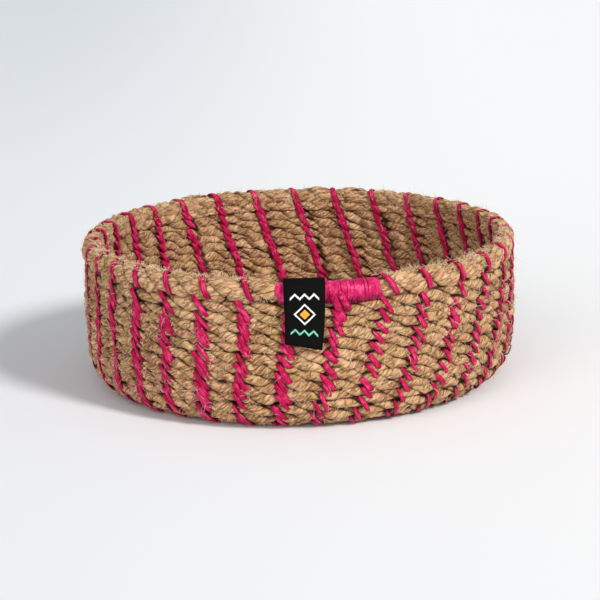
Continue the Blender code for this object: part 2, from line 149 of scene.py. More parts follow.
@dataclass(frozen=True)
class CoilForm:
    """Where the rope of the floor and wall runs. The driving sizes repeat those of the solids."""

    outer_radius: float
    height: float
    rope_width: float = 0.0085
    course_pitch: float = 0.00474
    course_gap: float = 0.00046
    flat_share: float = 0.5
    eye_radius: float = 0.0030
    heel_inner_radius: float = 0.00525
    rim_rope_diameter: float = 0.0086
    closing_start: float = math.radians(-7.5)
    closing_angle: float = math.radians(30.0)
    loop_corners: int = 24
    foot_tuck: float = 0.0024
    foot_height: float = 0.036

    @classmethod
    def from_frame(cls) -> "CoilForm":
        """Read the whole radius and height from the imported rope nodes, whose loops have corners.

        Returns:
            The form.
        """
        low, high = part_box("wall_coil")
        corner_share = math.cos(math.pi / cls.loop_corners)
        return cls(outer_radius=(high.x - low.x) / 2 / corner_share, height=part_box("rim_rope")[1].z)

    @property
    def rope_height(self) -> float:
        """Height of one course without its gap."""
        return self.course_pitch - self.course_gap

    @property
    def wall_radius(self) -> float:
        """Radius of the rope's middle line in the wall."""
        return self.outer_radius - self.rope_width / 2

    @property
    def heel_radius(self) -> float:
        """Radius of the heel's bend at the rope's middle line."""
        return self.heel_inner_radius + self.rope_width / 2

    @property
    def heel_lift(self) -> float:
        """How far the heel is lifted where it is steep."""
        return self.rope_height * self.flat_share / 2

    @property
    def floor_run(self) -> float:
        """Run of the flat floor."""
        return self.wall_radius - self.heel_radius - self.eye_radius

    @property
    def heel_run(self) -> float:
        """Run of the heel."""
        return self.heel_radius * math.pi / 2

    @property
    def rim_level(self) -> float:
        """Height of the rim rope's middle line."""
        return self.height - self.rim_rope_diameter / 2

    @property
    def top_course_level(self) -> float:
        """Height of the top course's middle line."""
        return self.rim_level - self.rim_rope_diameter / 2 - self.course_gap - self.rope_height / 2

    @property
    def wall_run(self) -> float:
        """Run of the straight wall."""
        return self.top_course_level - self.rope_width / 2 - self.heel_lift - self.heel_radius

    @property
    def whole_run(self) -> float:
        """Run from the start of the rope to the top course."""
        return self.floor_run + self.heel_run + self.wall_run

    @property
    def level_share(self) -> float:
        """Share of a round outside the closing sector."""
        return 1 - self.closing_angle / math.tau

    @property
    def courses(self) -> int:
        """Whole courses below the start of the top one."""
        return int(self.whole_run / self.course_pitch - self.level_share)

    @property
    def top_turns(self) -> float:
        """Turns at which the top course ends and its tail starts."""
        return self.courses + self.level_share

    def turn_part(self, azimuth: Array) -> Array:
        """Share of a turn between the end of the closing sector and an azimuth."""
        return (azimuth - self.closing_start - self.closing_angle) / math.tau % 1

    def azimuth_at(self, turns: Array) -> Array:
        """Azimuth of the rope after so many turns."""
        return self.closing_start + self.closing_angle + math.tau * turns

    def run_at(self, turns: Array) -> Array:
        """How far across the courses the rope has come, level in the top course and its tail.

        Args:
            turns: Turns from the start of the rope.

        Returns:
            The run at each.
        """
        turns = np.asarray(turns, float)
        part = turns % 1
        level = self.level_share
        closing = np.where(part <= level, part, level * (1 - part) / (1 - level))
        run = self.whole_run * turns / (self.courses + closing)
        return np.where(turns >= self.courses, self.whole_run, run)

    def steepness_at(self, run: Array) -> Array:
        """Slope of the floor, heel or wall at a run: 0 on the floor and a quarter turn in the wall."""
        return np.clip((np.asarray(run, float) - self.floor_run) / self.heel_radius, 0, math.pi / 2)

    def tuck_at(self, height: Array) -> Array:
        """How far the foot of the wall is drawn in at a height."""
        return self.foot_tuck * np.clip(1 - np.asarray(height, float) / self.foot_height, 0, 1) ** 2

    def profile_at(self, run: Array, offset: Array = 0.0) -> tuple[Array, Array]:
        """Radius and height of a point beside the rope's middle line.

        Args:
            run: How far across the courses.
            offset: Distance from the middle line, + outside.

        Returns:
            Radius from the basket's axis, and height.
        """
        steep = self.steepness_at(run)
        bend = self.heel_radius + np.asarray(offset, float)
        radius = self.eye_radius + np.minimum(run, self.floor_run) + bend * np.sin(steep)
        height = self.rope_width / 2 + self.heel_radius - bend * np.cos(steep)
        height = height + self.heel_lift * np.sin(steep)
        height = height + np.maximum(run - self.floor_run - self.heel_run, 0)
        return radius - self.tuck_at(height) * (radius / self.outer_radius) ** 2, height

    def offset_of(self, radius: Array, height: Array) -> Array:
        """Distance of points from the rope's middle line across the wall or floor, + outside.

        Args:
            radius: Radius of each point.
            height: Height of each point.

        Returns:
            One distance for each point.
        """
        spread = radius + self.tuck_at(height) * (radius / self.outer_radius) ** 2
        out = np.maximum(spread - self.eye_radius - self.floor_run, 0)
        down = np.maximum(self.rope_width / 2 + self.heel_radius - height, 0)
        return np.hypot(out, down) - self.heel_radius


@dataclass(frozen=True)
class SewingPlan:
    """Where the rows of stitches run, as in the solids."""

    form: CoilForm
    row_count: int = 32
    phase: float = math.radians(-0.65)
    drifts: tuple = (
        (1, math.radians(1.85), math.radians(-138.0)),
        (2, math.radians(2.46), math.radians(57.0)),
    )
    lean: float = math.radians(0.62)
    lean_swings: tuple = (
        (1, math.radians(0.45), math.radians(125.0)),
        (2, math.radians(0.18), math.radians(80.0)),
    )
    floor_shares: tuple = (0.10, 0.62, 0.32, 0.62)
    binding_start: float = math.radians(-5.6)
    binding_angle: float = math.radians(26.2)
    binding_margin: float = math.radians(1.3)

    def top_azimuth(self, index: int) -> float:
        """Azimuth of a row at the rim.

        Args:
            index: Number of the row, from 0.

        Returns:
            The azimuth, with the hand's drift from an even spacing.
        """
        even = math.tau * index / self.row_count
        drift = sum(size * math.cos(times * (even - crest)) for times, size, crest in self.drifts)
        return self.phase + even + drift

    def azimuth(self, index: int, run: Array) -> Array:
        """Azimuth of a row at a run: it leans, and is straight on the floor.

        Args:
            index: Number of the row, from 0.
            run: How far across the courses.

        Returns:
            One azimuth for each run.
        """
        top = self.top_azimuth(index)
        swing = sum(size * math.cos(times * top - crest) for times, size, crest in self.lean_swings)
        courses_down = (self.form.whole_run - np.maximum(run, self.form.floor_run)) / self.form.course_pitch
        return top - (self.lean + swing) * courses_down

    def start_run(self, index: int) -> float:
        """Run at which a row starts on the floor."""
        return self.form.floor_run * self.floor_shares[index % len(self.floor_shares)]

    def is_bound(self, index: int) -> bool:
        """Whether the binding covers a row at the rim."""
        past_start = (self.top_azimuth(index) - self.binding_start + self.binding_margin) % math.tau
        return past_start < self.binding_angle + 2 * self.binding_margin

    def course_runs(self, index: int) -> list[float]:
        """Runs of the courses that a row crosses, from its start on the floor up.

        Args:
            index: Number of the row, from 0.

        Returns:
            One run for each course.
        """
        form = self.form
        runs = []
        for whole_turns in range(form.courses + 1):
            run = form.whole_run * whole_turns / form.courses
            for _ in range(3):
                run = float(form.run_at(whole_turns + form.turn_part(self.azimuth(index, run))))
            if self.start_run(index) < run < form.whole_run + form.course_gap:
                if not runs or run - runs[-1] > form.course_pitch / 2:
                    runs.append(run)
        return runs

    def nearness(self, azimuth: Array, run: Array, radius: Array, reach: float) -> Array:
        """How close points of the rope are to a row, from 0 away from every row to 1 under one.

        Args:
            azimuth: Azimuth of each point.
            run: Run of each point.
            radius: Distance of each point from the basket's axis.
            reach: Distance round the basket at which a row's pull has faded.

        Returns:
            One value for each point.
        """
        near = np.zeros_like(azimuth)
        for index in range(self.row_count):
            apart = azimuth - self.azimuth(index, run)
            apart = (apart + math.pi) % math.tau - math.pi
            pull = np.exp(-((apart * radius / reach) ** 2))
            near = np.maximum(near, np.where(run > self.start_run(index), pull, 0))
        return near


class ShaderBoard:
    """A material's nodes, with short calls for the ones that the finishes share."""

    def __init__(self, name: str) -> None:
        """Start a material with its Principled shader.

        Args:
            name: Name of the material.
        """
        self.material = bpy.data.materials.new(name)
        self.material.use_nodes = True
        self.nodes = self.material.node_tree.nodes
        self.links = self.material.node_tree.links
        self.shader = self.nodes["Principled BSDF"]

    def add(self, kind: str, **settings: object) -> bpy.types.Node:
        """Add a node and set its properties.

        Args:
            kind: Blender's name for the kind of node.
            **settings: Properties of the node.

        Returns:
            The node.
        """
        node = self.nodes.new(kind)
        for name, value in settings.items():
            setattr(node, name, value)
        return node

    def link(self, source: Socket, target: Socket) -> None:
        """Join an output to an input."""
        self.links.new(source, target)

    def put(self, target: Socket, value: object) -> None:
        """Give an input a link or a plain value.

        Args:
            target: The input.
            value: An output to link, or a number or colour.
        """
        if isinstance(value, Socket):
            self.link(value, target)
        else:
            target.default_value = value

    def coordinates(self, uv_map: str = "") -> Socket:
        """Coordinates that a pattern lies on.

        Args:
            uv_map: Name of the piece's UV map, or nothing for the object's own coordinates.

        Returns:
            The coordinates.
        """
        if uv_map:
            return self.add("ShaderNodeUVMap", uv_map=uv_map).outputs["UV"]
        return self.add("ShaderNodeTexCoord").outputs["Object"]

    def mapped(self, source: Socket, scale: tuple, turn: float = 0.0, shift: tuple = (0, 0, 0)) -> Socket:
        """Turn and then stretch coordinates.

        Args:
            source: The coordinates.
            scale: Stretch along each axis after the turn.
            turn: Angle about Z.
            shift: Move after the stretch.

        Returns:
            The new coordinates.
        """
        turned = self.add("ShaderNodeVectorRotate", rotation_type="Z_AXIS")
        self.link(source, turned.inputs["Vector"])
        turned.inputs["Angle"].default_value = turn
        mapping = self.add("ShaderNodeMapping")
        self.link(turned.outputs["Vector"], mapping.inputs["Vector"])
        mapping.inputs["Scale"].default_value = scale
        mapping.inputs["Location"].default_value = shift
        return mapping.outputs["Vector"]

    def split(self, source: Socket) -> tuple[Socket, Socket]:
        """Take coordinates apart.

        Args:
            source: The coordinates.

        Returns:
            Their X and Y.
        """
        parts = self.add("ShaderNodeSeparateXYZ")
        self.link(source, parts.inputs["Vector"])
        return parts.outputs["X"], parts.outputs["Y"]

    def noise(self, source: Socket, scale: float = 1.0, detail: float = 2.0, rough: float = 0.5) -> Socket:
        """Noise of 0 to 1 on coordinates.

        Args:
            source: The coordinates.
            scale: Waves for each unit.
            detail: Number of finer layers.
            rough: Strength of the finer layers.

        Returns:
            The noise.
        """
        node = self.add("ShaderNodeTexNoise")
        self.link(source, node.inputs["Vector"])
        node.inputs["Scale"].default_value = scale
        node.inputs["Detail"].default_value = detail
        node.inputs["Roughness"].default_value = rough
        return node.outputs["Fac"]

    def bands(self, source: Socket, direction: str, scale: float) -> Socket:
        """Even waves across coordinates.

        Args:
            source: The coordinates.
            direction: Axis that the waves run along.
            scale: Waves for each unit.

        Returns:
            The waves, from 0 to 1.
        """
        node = self.add("ShaderNodeTexWave", wave_type="BANDS", bands_direction=direction)
        node.inputs["Scale"].default_value = scale
        self.link(source, node.inputs["Vector"])
        return node.outputs["Fac"]

    def math(self, operation: str, first: object, second: object = 0.0, third: object = None) -> Socket:
        """One step of arithmetic.

        Args:
            operation: Blender's name for the step.
            first: First value.
            second: Second value.
            third: Third value, where the step takes one.

        Returns:
            The result.
        """
        node = self.add("ShaderNodeMath", operation=operation)
        self.put(node.inputs[0], first)
        self.put(node.inputs[1], second)
        if third is not None:
            self.put(node.inputs[2], third)
        return node.outputs["Value"]

    def span(self, value: object, low: float, high: float, start: float = 0.0, end: float = 1.0) -> Socket:
        """Map one span of values softly onto another, and hold the ends.

        Args:
            value: The value to map.
            low: Value that gives the start.
            high: Value that gives the end.
            start: Result at the low value.
            end: Result at the high value.

        Returns:
            The mapped value.
        """
        node = self.add("ShaderNodeMapRange", interpolation_type="SMOOTHSTEP")
        self.put(node.inputs["Value"], value)
        limits = {"From Min": low, "From Max": high, "To Min": start, "To Max": end}
        for name, number in limits.items():
            node.inputs[name].default_value = number
        return node.outputs["Result"]

    def mix(self, share: object, first: object, second: object) -> Socket:
        """Mix two colours.

        Args:
            share: Share of the second colour.
            first: First colour.
            second: Second colour.

        Returns:
            The mixed colour.
        """
        node = self.add("ShaderNodeMix", data_type="RGBA", blend_type="MIX")
        self.put(node.inputs[0], share)
        self.put(node.inputs[6], first)
        self.put(node.inputs[7], second)
        return node.outputs[2]

    def attribute(self, name: str) -> Socket:
        """A value stored on the piece's points."""
        return self.add("ShaderNodeAttribute", attribute_name=name).outputs["Fac"]

    def bump(self, height: Socket, distance: float, strength: float = 1.0) -> None:
        """Raise the surface.

        Args:
            height: Height of 0 to 1.
            distance: Rise at a height of 1.
            strength: Share of the rise that shows.
        """
        node = self.add("ShaderNodeBump")
        node.inputs["Distance"].default_value = distance
        node.inputs["Strength"].default_value = strength
        self.link(height, node.inputs["Height"])
        self.link(node.outputs["Normal"], self.shader.inputs["Normal"])

    def surface(self, colour: object, roughness: object, specular: float, sheen: float = 0.0) -> None:
        """Set the shader.

        Args:
            colour: Colour of the surface.
            roughness: Its roughness.
            specular: Its gloss level.
            sheen: Its sheen.
        """
        self.put(self.shader.inputs["Base Color"], colour)
        self.put(self.shader.inputs["Roughness"], roughness)
        self.shader.inputs["Specular IOR Level"].default_value = specular
        self.shader.inputs["Sheen Weight"].default_value = sheen
        self.shader.inputs["Sheen Roughness"].default_value = 0.5


@dataclass(frozen=True)
class JuteFinish:
    """Twisted jute: strands that cross each ply, straw to brown, with painted shade in the thin grooves
    between strands and in the rope's crevices.
    """

    name: str
    strand_width: float
    light: tuple = srgb(214, 175, 137)
    middle: tuple = srgb(183, 140, 100)
    dark: tuple = srgb(117, 75, 43)
    # crease: colour of the painted shade in the rope's crevices
    crease: tuple = srgb(54, 22, 7)
    green: tuple = srgb(176, 154, 92)
    rose: tuple = srgb(202, 148, 112)
    fibre_turn: float = math.radians(-57.0)
    strand_stretch: tuple = (0.10, 0.5)
    fibre_stretch: tuple = (0.16, 1.9)
    patch_scale: float = 95.0
    patch_share: float = 0.40
    tint_scale: float = 150.0
    dark_span: tuple = (0.31, 0.47)
    light_span: tuple = (0.47, 0.61)
    green_span: tuple = (0.50, 0.68, 0.0, 0.32)
    rose_span: tuple = (0.42, 0.28, 0.0, 0.22)
    groove_shade_span: tuple = (0.0, 0.036, 0.80, 0.0)
    crevice_shade_span: tuple = (0.15, 1.0, 0.0, 0.97)
    strand_round: float = 0.07
    strand_relief: float = 0.65
    roughness: float = 0.90
    gloss: float = 0.08
    sheen: float = 0.04
    bump_depth: float = 0.00060

    def stretched(self, board: ShaderBoard, stretch: tuple) -> Socket:
        """The rope's own map turned along the fibres.

        Args:
            board: The material's nodes.
            stretch: Waves along and across the fibres in the width of a strand.

        Returns:
            The coordinates.
        """
        along, across = (share / self.strand_width for share in stretch)
        return board.mapped(board.coordinates("lay"), (along, across, 1), self.fibre_turn)

    def build(self) -> Material:
        """Make the material on the rope's own map, whose U runs along the rope and V round it.

        Returns:
            The material.
        """
        board = ShaderBoard(self.name)
        strands = board.noise(self.stretched(board, self.strand_stretch), 1.0, 2.0, 0.55)
        fibres = board.noise(self.stretched(board, self.fibre_stretch), 1.0, 3.0, 0.6)
        place = board.coordinates()
        patches = board.math("SUBTRACT", board.noise(place, self.patch_scale), 0.5)
        tints = board.noise(board.mapped(place, (1, 1, 1), 0.0, (3, 7, 1)), self.tint_scale, 1.0)
        apart = board.math("ABSOLUTE", board.math("SUBTRACT", strands, 0.5))
        rounded = board.math("MULTIPLY", board.span(apart, 0.0, self.strand_round), self.strand_relief)
        relief = board.math("MULTIPLY_ADD", fibres, 1 - self.strand_relief, rounded)
        tone = board.math("MULTIPLY_ADD", patches, self.patch_share, fibres)
        colour = board.mix(board.span(tone, *self.dark_span), self.dark, self.middle)
        colour = board.mix(board.span(tone, *self.light_span), colour, self.light)
        colour = board.mix(board.span(tints, *self.green_span), colour, self.green)
        colour = board.mix(board.span(tints, *self.rose_span), colour, self.rose)
        # painted shade in the thin grooves between strands
        colour = board.mix(board.span(apart, *self.groove_shade_span), colour, self.dark)
        # painted shade in the rope's crevices, from the value stored on its points
        colour = board.mix(board.span(board.attribute("crevice_shade"), *self.crevice_shade_span), colour, self.crease)
        board.surface(colour, self.roughness, self.gloss, self.sheen)
        board.bump(relief, self.bump_depth)
        return board.material


@dataclass(frozen=True)
class YarnFinish:
    """Flat pink yarn with a soft shine and fine strands along it, with painted shade on its sides and where
    it sinks into the rope.
    """

    name: str
    light: tuple = srgb(232, 82, 134)
    middle: tuple = srgb(185, 18, 76)
    dark: tuple = srgb(118, 2, 40)
    # colour of the painted shade where the yarn sinks into the rope and under the binding
    yarn_shade: tuple = srgb(58, 1, 18)
    strands_round: float = 7.0
    strands_along: float = 80.0
    strand_share: float = 0.65
    patch_scale: float = 260.0
    dark_span: tuple = (0.34, 0.50)
    light_span: tuple = (0.50, 0.66)
    face_span: tuple = (0.1, 0.8)
    yarn_shade_share: float = 0.9
    roughness: float = 0.42
    edge_shade: float = 0.95
    gloss: float = 0.09
    bump_depth: float = 0.00022

    def build(self) -> Material:
        """Make the material on the yarn's own map, whose U runs along it and V round it.

        Returns:
            The material.
        """
        board = ShaderBoard(self.name)
        own = board.coordinates("UVMap")
        lengthwise = board.mapped(own, (self.strands_along, self.strands_round, 1))
        strands = board.noise(lengthwise, 2.0, 3.0, 0.6)
        patches = board.noise(board.coordinates(), self.patch_scale, 1.0)
        patches = board.math("MULTIPLY", patches, 1 - self.strand_share)
        tone = board.math("MULTIPLY_ADD", strands, self.strand_share, patches)
        colour = board.mix(board.span(tone, *self.dark_span), self.dark, self.middle)
        colour = board.mix(board.span(tone, *self.light_span), colour, self.light)
        # painted shade on the yarn's sides, darker away from the middle of its face
        around = board.math("MULTIPLY", board.split(own)[1], math.tau)
        face = board.math("ABSOLUTE", board.math("SINE", around))
        colour = board.mix(board.span(face, *self.face_span, self.edge_shade, 0.0), colour, self.dark)
        # painted shade where the yarn sinks into the rope, and on the binding's underside
        yarn_shade = board.span(board.attribute("yarn_shade"), 0.0, 1.0, 0.0, self.yarn_shade_share)
        colour = board.mix(yarn_shade, colour, self.yarn_shade)
        roughness = board.span(strands, 0.3, 0.7, self.roughness + 0.1, self.roughness - 0.06)
        board.surface(colour, roughness, self.gloss)
        board.bump(strands, self.bump_depth, 0.9)
        return board.material


@dataclass(frozen=True)
class FibreFinish:
    """Single loose fibres."""

    name: str
    light: tuple = srgb(248, 228, 198)
    dark: tuple = srgb(214, 178, 132)
    tone_scale: float = 400.0

    def build(self) -> Material:
        """Make the material with a little change of tone from place to place.

        Returns:
            The material.
        """
        board = ShaderBoard(self.name)
        tone = board.noise(board.coordinates(), self.tone_scale, 1.0)
        board.surface(board.mix(board.span(tone, 0.35, 0.65), self.light, self.dark), 0.7, 0.3)
        return board.material


def linked(name: str, data: bpy.types.ID) -> Piece:
    """Make an object and link it to the scene.

    Args:
        name: Name of the object.
        data: Its mesh, curve, lamp or camera.

    Returns:
        The object.
    """
    made = bpy.data.objects.new(name, data)
    bpy.context.scene.collection.objects.link(made)
    return made


def finished_mesh(holder: Piece) -> Mesh:
    """Turn an object with its modifiers or bevel into a plain mesh, and remove the object.

    Args:
        holder: The object.

    Returns:
        The mesh.
    """
    bpy.context.view_layer.update()
    mesh = bpy.data.meshes.new_from_object(holder.evaluated_get(bpy.context.evaluated_depsgraph_get()))
    bpy.data.objects.remove(holder)
    return mesh


@dataclass(frozen=True)
class RopeMesh:
    """Two-ply rope made straight and then wrapped onto a path, with a multiple of 4 sides."""

    sides: int
    rings_per_lay: int
    crease_share: float
    crease_power: float

    def lobe(self, angle: float) -> float:
        """Radius of the two-ply outline at an angle from the middle of a ply, of at most 1."""
        return 1 - self.crease_share * (1 - abs(math.cos(angle)) ** self.crease_power)

    def straight(self, name: str, lays: int) -> Mesh:
        """Spin one lay of the two-ply outline and repeat it along X, one unit for each lay.

        Args:
            name: Name of the mesh.
            lays: Full twists in the rope.

        Returns:
            A tube with open ends, of unit radius.
        """
        bm = bmesh.new()
        upright = Matrix.Rotation(math.pi / 2, 4, "Y")
        bmesh.ops.create_circle(bm, cap_ends=False, radius=1, segments=self.sides, matrix=upright)
        for vert in bm.verts:
            vert.co *= self.lobe(math.atan2(vert.co.z, vert.co.y))
        ring = bm.verts[:] + bm.edges[:]
        step = (1 / self.rings_per_lay, 0, 0)
        bmesh.ops.spin(
            bm, geom=ring, cent=(0, 0, 0), axis=(1, 0, 0), dvec=step, angle=-math.tau,
            steps=self.rings_per_lay, use_merge=False, use_normal_flip=False, use_duplicate=False,
        )
        bmesh.ops.recalc_face_normals(bm, faces=bm.faces[:])
        mesh = bpy.data.meshes.new(name)
        bm.to_mesh(mesh)
        bm.free()
        holder = linked(name, mesh)
        repeat = holder.modifiers.new("lays", "ARRAY")
        repeat.count = lays
        repeat.use_relative_offset = False
        repeat.use_constant_offset = True
        repeat.constant_offset_displace = (1, 0, 0)
        repeat.use_merge_vertices = True
        repeat.merge_threshold = 0.0001
        long_mesh = finished_mesh(holder)
        bpy.data.meshes.remove(mesh)
        long_mesh.name = name
        return long_mesh


def points_of(mesh: Mesh) -> Array:
    """Coordinates of a mesh's points.

    Args:
        mesh: The mesh.

    Returns:
        One row for each point.
    """
    flat = np.empty(len(mesh.vertices) * 3, np.float32)
    mesh.vertices.foreach_get("co", flat)
    return flat.reshape(-1, 3).astype(float)


def set_points(mesh: Mesh, points: Array) -> None:
    """Move a mesh's points."""
    mesh.vertices.foreach_set("co", points.astype(np.float32).ravel())
    mesh.update()


def store_value(mesh: Mesh, name: str, values: Array) -> None:
    """Store one value for each point."""
    layer = mesh.attributes.new(name, "FLOAT", "POINT")
    layer.data.foreach_set("value", values.astype(np.float32))


def store_lay_map(mesh: Mesh, along: Array, around: Array, girth: float) -> None:
    """Store the rope's own map: metres along the rope, and metres round it.

    Args:
        mesh: A mesh of four-sided faces.
        along: Distance along the rope of each point.
        around: Angle round the rope of each point, from the middle of a ply.
        girth: Distance round the rope.
    """
    corners = np.empty(len(mesh.loops), np.int32)
    mesh.loops.foreach_get("vertex_index", corners)
    starts = np.empty(len(mesh.polygons), np.int32)
    mesh.polygons.foreach_get("loop_start", starts)
    angles = around[corners]
    first = np.repeat(angles[starts], np.diff(np.append(starts, len(corners))))
    angles = angles - math.tau * np.round((angles - first) / math.tau)
    uv = np.column_stack((along[corners], angles / math.tau * girth))
    layer = mesh.uv_layers.new(name="lay")
    layer.data.foreach_set("uv", uv.astype(np.float32).ravel())


def close_ends(mesh: Mesh) -> None:
    """Fill the open ends of a tube and smooth it.

    Args:
        mesh: The tube, of four-sided faces.
    """
    bm = bmesh.new()
    bm.from_mesh(mesh)
    bmesh.ops.holes_fill(bm, edges=[edge for edge in bm.edges if edge.is_boundary], sides=0)
    bmesh.ops.recalc_face_normals(bm, faces=bm.faces[:])
    for face in bm.faces:
        face.smooth = len(face.verts) == 4
    bm.to_mesh(mesh)
    bm.free()


def place_piece(name: str, data: Mesh, material: Material, nodes: list[str]) -> Piece:
    """Link a finished piece, dress it, hang it under the body and hide the solids that it replaces.

    Args:
        name: Name of the piece.
        data: Its mesh.
        material: Its finish.
        nodes: The solids that it replaces.

    Returns:
        The piece.
    """
    piece = linked(name, data)
    data.materials.clear()
    data.materials.append(material)
    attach(piece, BODY)
    if nodes:
        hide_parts(*nodes)
    LOG.info("%s: %d points", name, len(data.vertices))
    return piece


@dataclass(frozen=True)
class Waves:
    """One set of waves round and up the wall."""

    count: int
    least_rounds: int
    most_rounds: int
    climb: float
    lift: float
    push: float


@dataclass(frozen=True)
class HandWork:
    """Unevenness that every piece on the wall follows: waves, and a foot drawn in on one side."""

    rim_level: float
    sets: tuple = (
        Waves(12, 7, 46, 130.0, 0.00070, 0.00045),
        Waves(16, 40, 95, 620.0, 0.00042, 0.00034),
    )
    tuck: float = 0.0036
    tuck_height: float = 0.030
    tuck_azimuth: float = math.radians(64.0)
    tuck_span: float = math.radians(44.0)
    table_clearance: float = 0.00008

    def settle(self, mesh: Mesh) -> None:
        """Move a mesh's points with the waves, which fade at the floor and at the rim.

        Args:
            mesh: The mesh, which stays off the table.
        """
        points = points_of(mesh)
        azimuth = np.arctan2(points[:, 0], -points[:, 1])
        radius = np.maximum(np.hypot(points[:, 0], points[:, 1]), 0.01)
        height = points[:, 2]
        draw = random.Random(Seed.HAND)
        share = np.sin(math.pi * np.clip(height / self.rim_level, 0, 1))
        foot = np.clip(1 - height / self.tuck_height, 0, 1) ** 2 * (radius / radius.max()) ** 3
        beside = (azimuth - self.tuck_azimuth + math.pi) % math.tau - math.pi
        push = -self.tuck * foot * np.exp(-((beside / self.tuck_span) ** 2))
        lift = np.zeros_like(height)
        for waves in self.sets:
            even = share / math.sqrt(waves.count)
            for _ in range(waves.count):
                rounds = draw.randint(waves.least_rounds, waves.most_rounds)
                phase = rounds * azimuth + draw.uniform(-waves.climb, waves.climb) * height
                phase += draw.uniform(0, math.tau)
                lift += waves.lift * even * np.cos(phase)
                push += waves.push * even * np.sin(phase + 0.6)
        points[:, 0] *= 1 + push / radius
        points[:, 1] *= 1 + push / radius
        points[:, 2] = np.maximum(height + lift, self.table_clearance)
        set_points(mesh, points)


@dataclass(frozen=True)
class FibreBundles:
    """Bundles of fibre that slant across the plies, as rounded ridges with sharp valleys."""

    seed: int
    counts: tuple[int, ...]
    slope: float
    wander: float = 2.4
    wander_step: float = 0.007
    ply_wander: float = 0.37
    ply_turn: float = 2.1
    weave: float = 0.7
    weave_rate: float = 170.0

    def relief(self, along: Array, around: Array, ply: Array, radius: float) -> Array:
        """Height of the ridges, from 0 in a valley to 1 on a crest.

        Args:
            along: Distance along the rope.
            around: Angle round the rope.
            ply: 0 or 1, the ply that each point belongs to.
            radius: Radius of the rope that the slope is meant for.

        Returns:
            One value for each point.
        """
        draw = np.random.default_rng(self.seed)
        total = np.zeros_like(along)
        for count in self.counts:
            place = along + self.ply_wander * ply
            drift = self.wander * wander(self.seed + count, self.wander_step, place)
            drift += self.weave * np.sin(2 * around + along * self.weave_rate)
            phase = count * (around - self.slope * along / radius) + draw.uniform(0, math.tau)
            phase += self.ply_turn * ply + drift
            total += np.abs(np.sin(phase / 2)) ** 0.8
        return total / len(self.counts)


@dataclass(frozen=True)
class CoilShade:
    """How strongly painted shade darkens each hollow of the floor and wall's rope, from 0 to 1, with a
    painted shadow beside each row.
    """

    level: float = -0.1
    ply_crease: float = 0.46
    ply_side: float = 0.16
    ply_flank: float = 1.1
    course_gap: float = 0.65
    course_stitch: float = 0.85
    under_stitch: float = 0.35
    valley: float = 0.65
    inside: float = -0.31
    inside_contact: float = 0.8
    row_shadow: float = 0.36
    row_shadow_flank: float = 1.6


